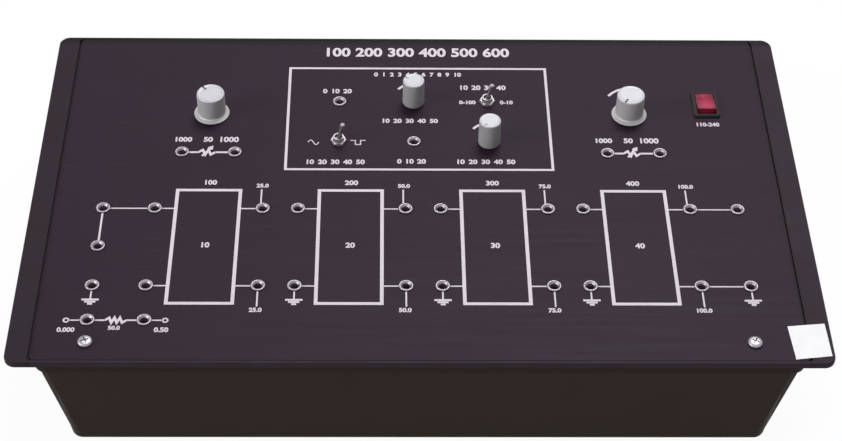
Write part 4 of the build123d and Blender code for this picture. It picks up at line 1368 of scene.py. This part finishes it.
CAMERA_PLACE = (-0.0192, -0.7914, 0.8392)
CAMERA_TILT = 44.883
CAMERA_TURN = -1.507
CAMERA_ROLL = 1.213
LIGHTS_AIM = Vector((0, 0, 0.05))
KEY_LIGHT = ((0.3, 0.95, 2.0), 0.8)
SIDE_LIGHT = ((-3.15, -1.1, 1.45), 1.5)
FLOOR_SIZE = 6.0
FLOOR_LEVEL = -0.0001
FLOOR_GLOW = 0.95
WHITE = (1, 1, 1, 1)


def add_camera(lens):
    """The camera at the photograph's angle."""
    data = bpy.data.cameras.new("camera")
    data.sensor_fit = "HORIZONTAL"
    data.sensor_width = 36.0
    data.lens = lens
    data.clip_start, data.clip_end = 0.05, 60.0
    camera = in_scene("camera", data)
    turned = Matrix.Translation(CAMERA_PLACE)
    for angle, axis in ((CAMERA_TURN, "Z"), (90.0 - CAMERA_TILT, "X"), (CAMERA_ROLL, "Z")):
        turned @= Matrix.Rotation(radians(angle), 4, axis)
    camera.matrix_world = turned
    bpy.context.scene.camera = camera


def add_light(name, place, size, power):
    """A soft square light that faces the object."""
    data = bpy.data.lights.new(name, "AREA")
    data.shape = "SQUARE"
    data.size = size
    data.energy = power
    light = in_scene(name, data)
    light.location = place
    light.rotation_euler = (LIGHTS_AIM - Vector(place)).to_track_quat("-Z", "Y").to_euler()


def seen_directly(nodes):
    """1 for what the camera sees, also in metal and through glass, and 0 for the rest."""
    rays = nodes.put("ShaderNodeLightPath").outputs
    seen = nodes.math("MAXIMUM", rays["Is Camera Ray"], rays["Is Glossy Ray"])
    return nodes.math("MAXIMUM", seen, rays["Is Transmission Ray"])


def set_world(strength):
    """Even light from all round, on a background that shows white."""
    world = bpy.data.worlds.new("studio")
    bpy.context.scene.world = world
    world.use_nodes = True
    nodes = Nodes(world.node_tree)
    even, white = (
        nodes.put("ShaderNodeBackground", {"Color": WHITE, "Strength": power}).outputs[0]
        for power in (strength, 1.0)
    )
    mix = nodes.put("ShaderNodeMixShader", {0: seen_directly(nodes), 1: even, 2: white})
    nodes.put("ShaderNodeOutputWorld", {"Surface": mix.outputs[0]})


def add_floor():
    """A pale floor that keeps the object's shadow."""
    solid = bmesh.new()
    place = Matrix.Translation((0, 0, FLOOR_LEVEL))
    bmesh.ops.create_grid(solid, x_segments=8, y_segments=8, size=FLOOR_SIZE, matrix=place)
    finish = Finish("pale floor")
    pale = {"Base Color": (0.86, 0.86, 0.86, 1.0), "Roughness": 0.9, "Specular IOR Level": 0.1}
    finish.feed(finish.shader, pale)
    glow = finish.put("ShaderNodeEmission", {"Color": WHITE, "Strength": 1.0}).outputs[0]
    share = finish.math("MULTIPLY", seen_directly(finish), FLOOR_GLOW)
    layers = {0: share, 1: finish.shader.outputs["BSDF"], 2: glow}
    mix = finish.put("ShaderNodeMixShader", layers)
    finish.feed(finish.output, {"Surface": mix.outputs[0]})
    floor = in_scene("floor", finished_mesh("floor", solid))
    floor.data.materials.append(finish.material)


class TRAINER_OT_stage(bpy.types.Operator):
    """Sets the floor, the light and the camera"""

    bl_idname = "trainer.set_stage"
    bl_label = "Stage"

    def execute(self, context):
        stage = context.scene.trainer_stage
        context.scene.view_settings.view_transform = "Standard"
        add_floor()
        set_world(stage.ambient)
        add_light("key light", *KEY_LIGHT, stage.key_power)
        add_light("side light", *SIDE_LIGHT, stage.side_power)
        add_camera(stage.focal_length)
        return {"FINISHED"}


class TRAINER_PT_pieces(bpy.types.Panel):
    """The trainer's pieces and what can be changed on them"""

    bl_idname = "TRAINER_PT_pieces"
    bl_label = "Trainer"
    bl_space_type = "VIEW_3D"
    bl_region_type = "UI"
    bl_category = "Trainer"

    def draw(self, context):
        scene = context.scene
        for settings in (scene.trainer_print, scene.trainer_finish, scene.trainer_stage):
            box = self.layout.box()
            for name in settings.bl_rna.properties.keys():
                if name not in ("rna_type", "name"):
                    box.prop(settings, name)
        for operator in OPERATORS:
            self.layout.operator(operator.bl_idname)


OPERATORS = (
    TRAINER_OT_case,
    TRAINER_OT_panel,
    TRAINER_OT_diagram,
    TRAINER_OT_numbers,
    TRAINER_OT_sockets,
    TRAINER_OT_knobs,
    TRAINER_OT_toggles,
    TRAINER_OT_power_switch,
    TRAINER_OT_screws,
    TRAINER_OT_label,
    TRAINER_OT_inner_parts,
    TRAINER_OT_stage,
)
CLASSES = (TrainerPrint, TrainerFinish, TrainerStage, *OPERATORS, TRAINER_PT_pieces)


def register():
    for each in CLASSES:
        bpy.utils.register_class(each)
    bpy.types.Scene.trainer_print = bpy.props.PointerProperty(type=TrainerPrint)
    bpy.types.Scene.trainer_finish = bpy.props.PointerProperty(type=TrainerFinish)
    bpy.types.Scene.trainer_stage = bpy.props.PointerProperty(type=TrainerStage)


def unregister():
    del bpy.types.Scene.trainer_stage
    del bpy.types.Scene.trainer_finish
    del bpy.types.Scene.trainer_print
    for each in reversed(CLASSES):
        bpy.utils.unregister_class(each)


def main():
    """Makes every piece in order."""
    register()
    for operator in OPERATORS:
        group, name = operator.bl_idname.split(".")
        getattr(getattr(bpy.ops, group), name)()


if __name__ == "__main__":
    main()
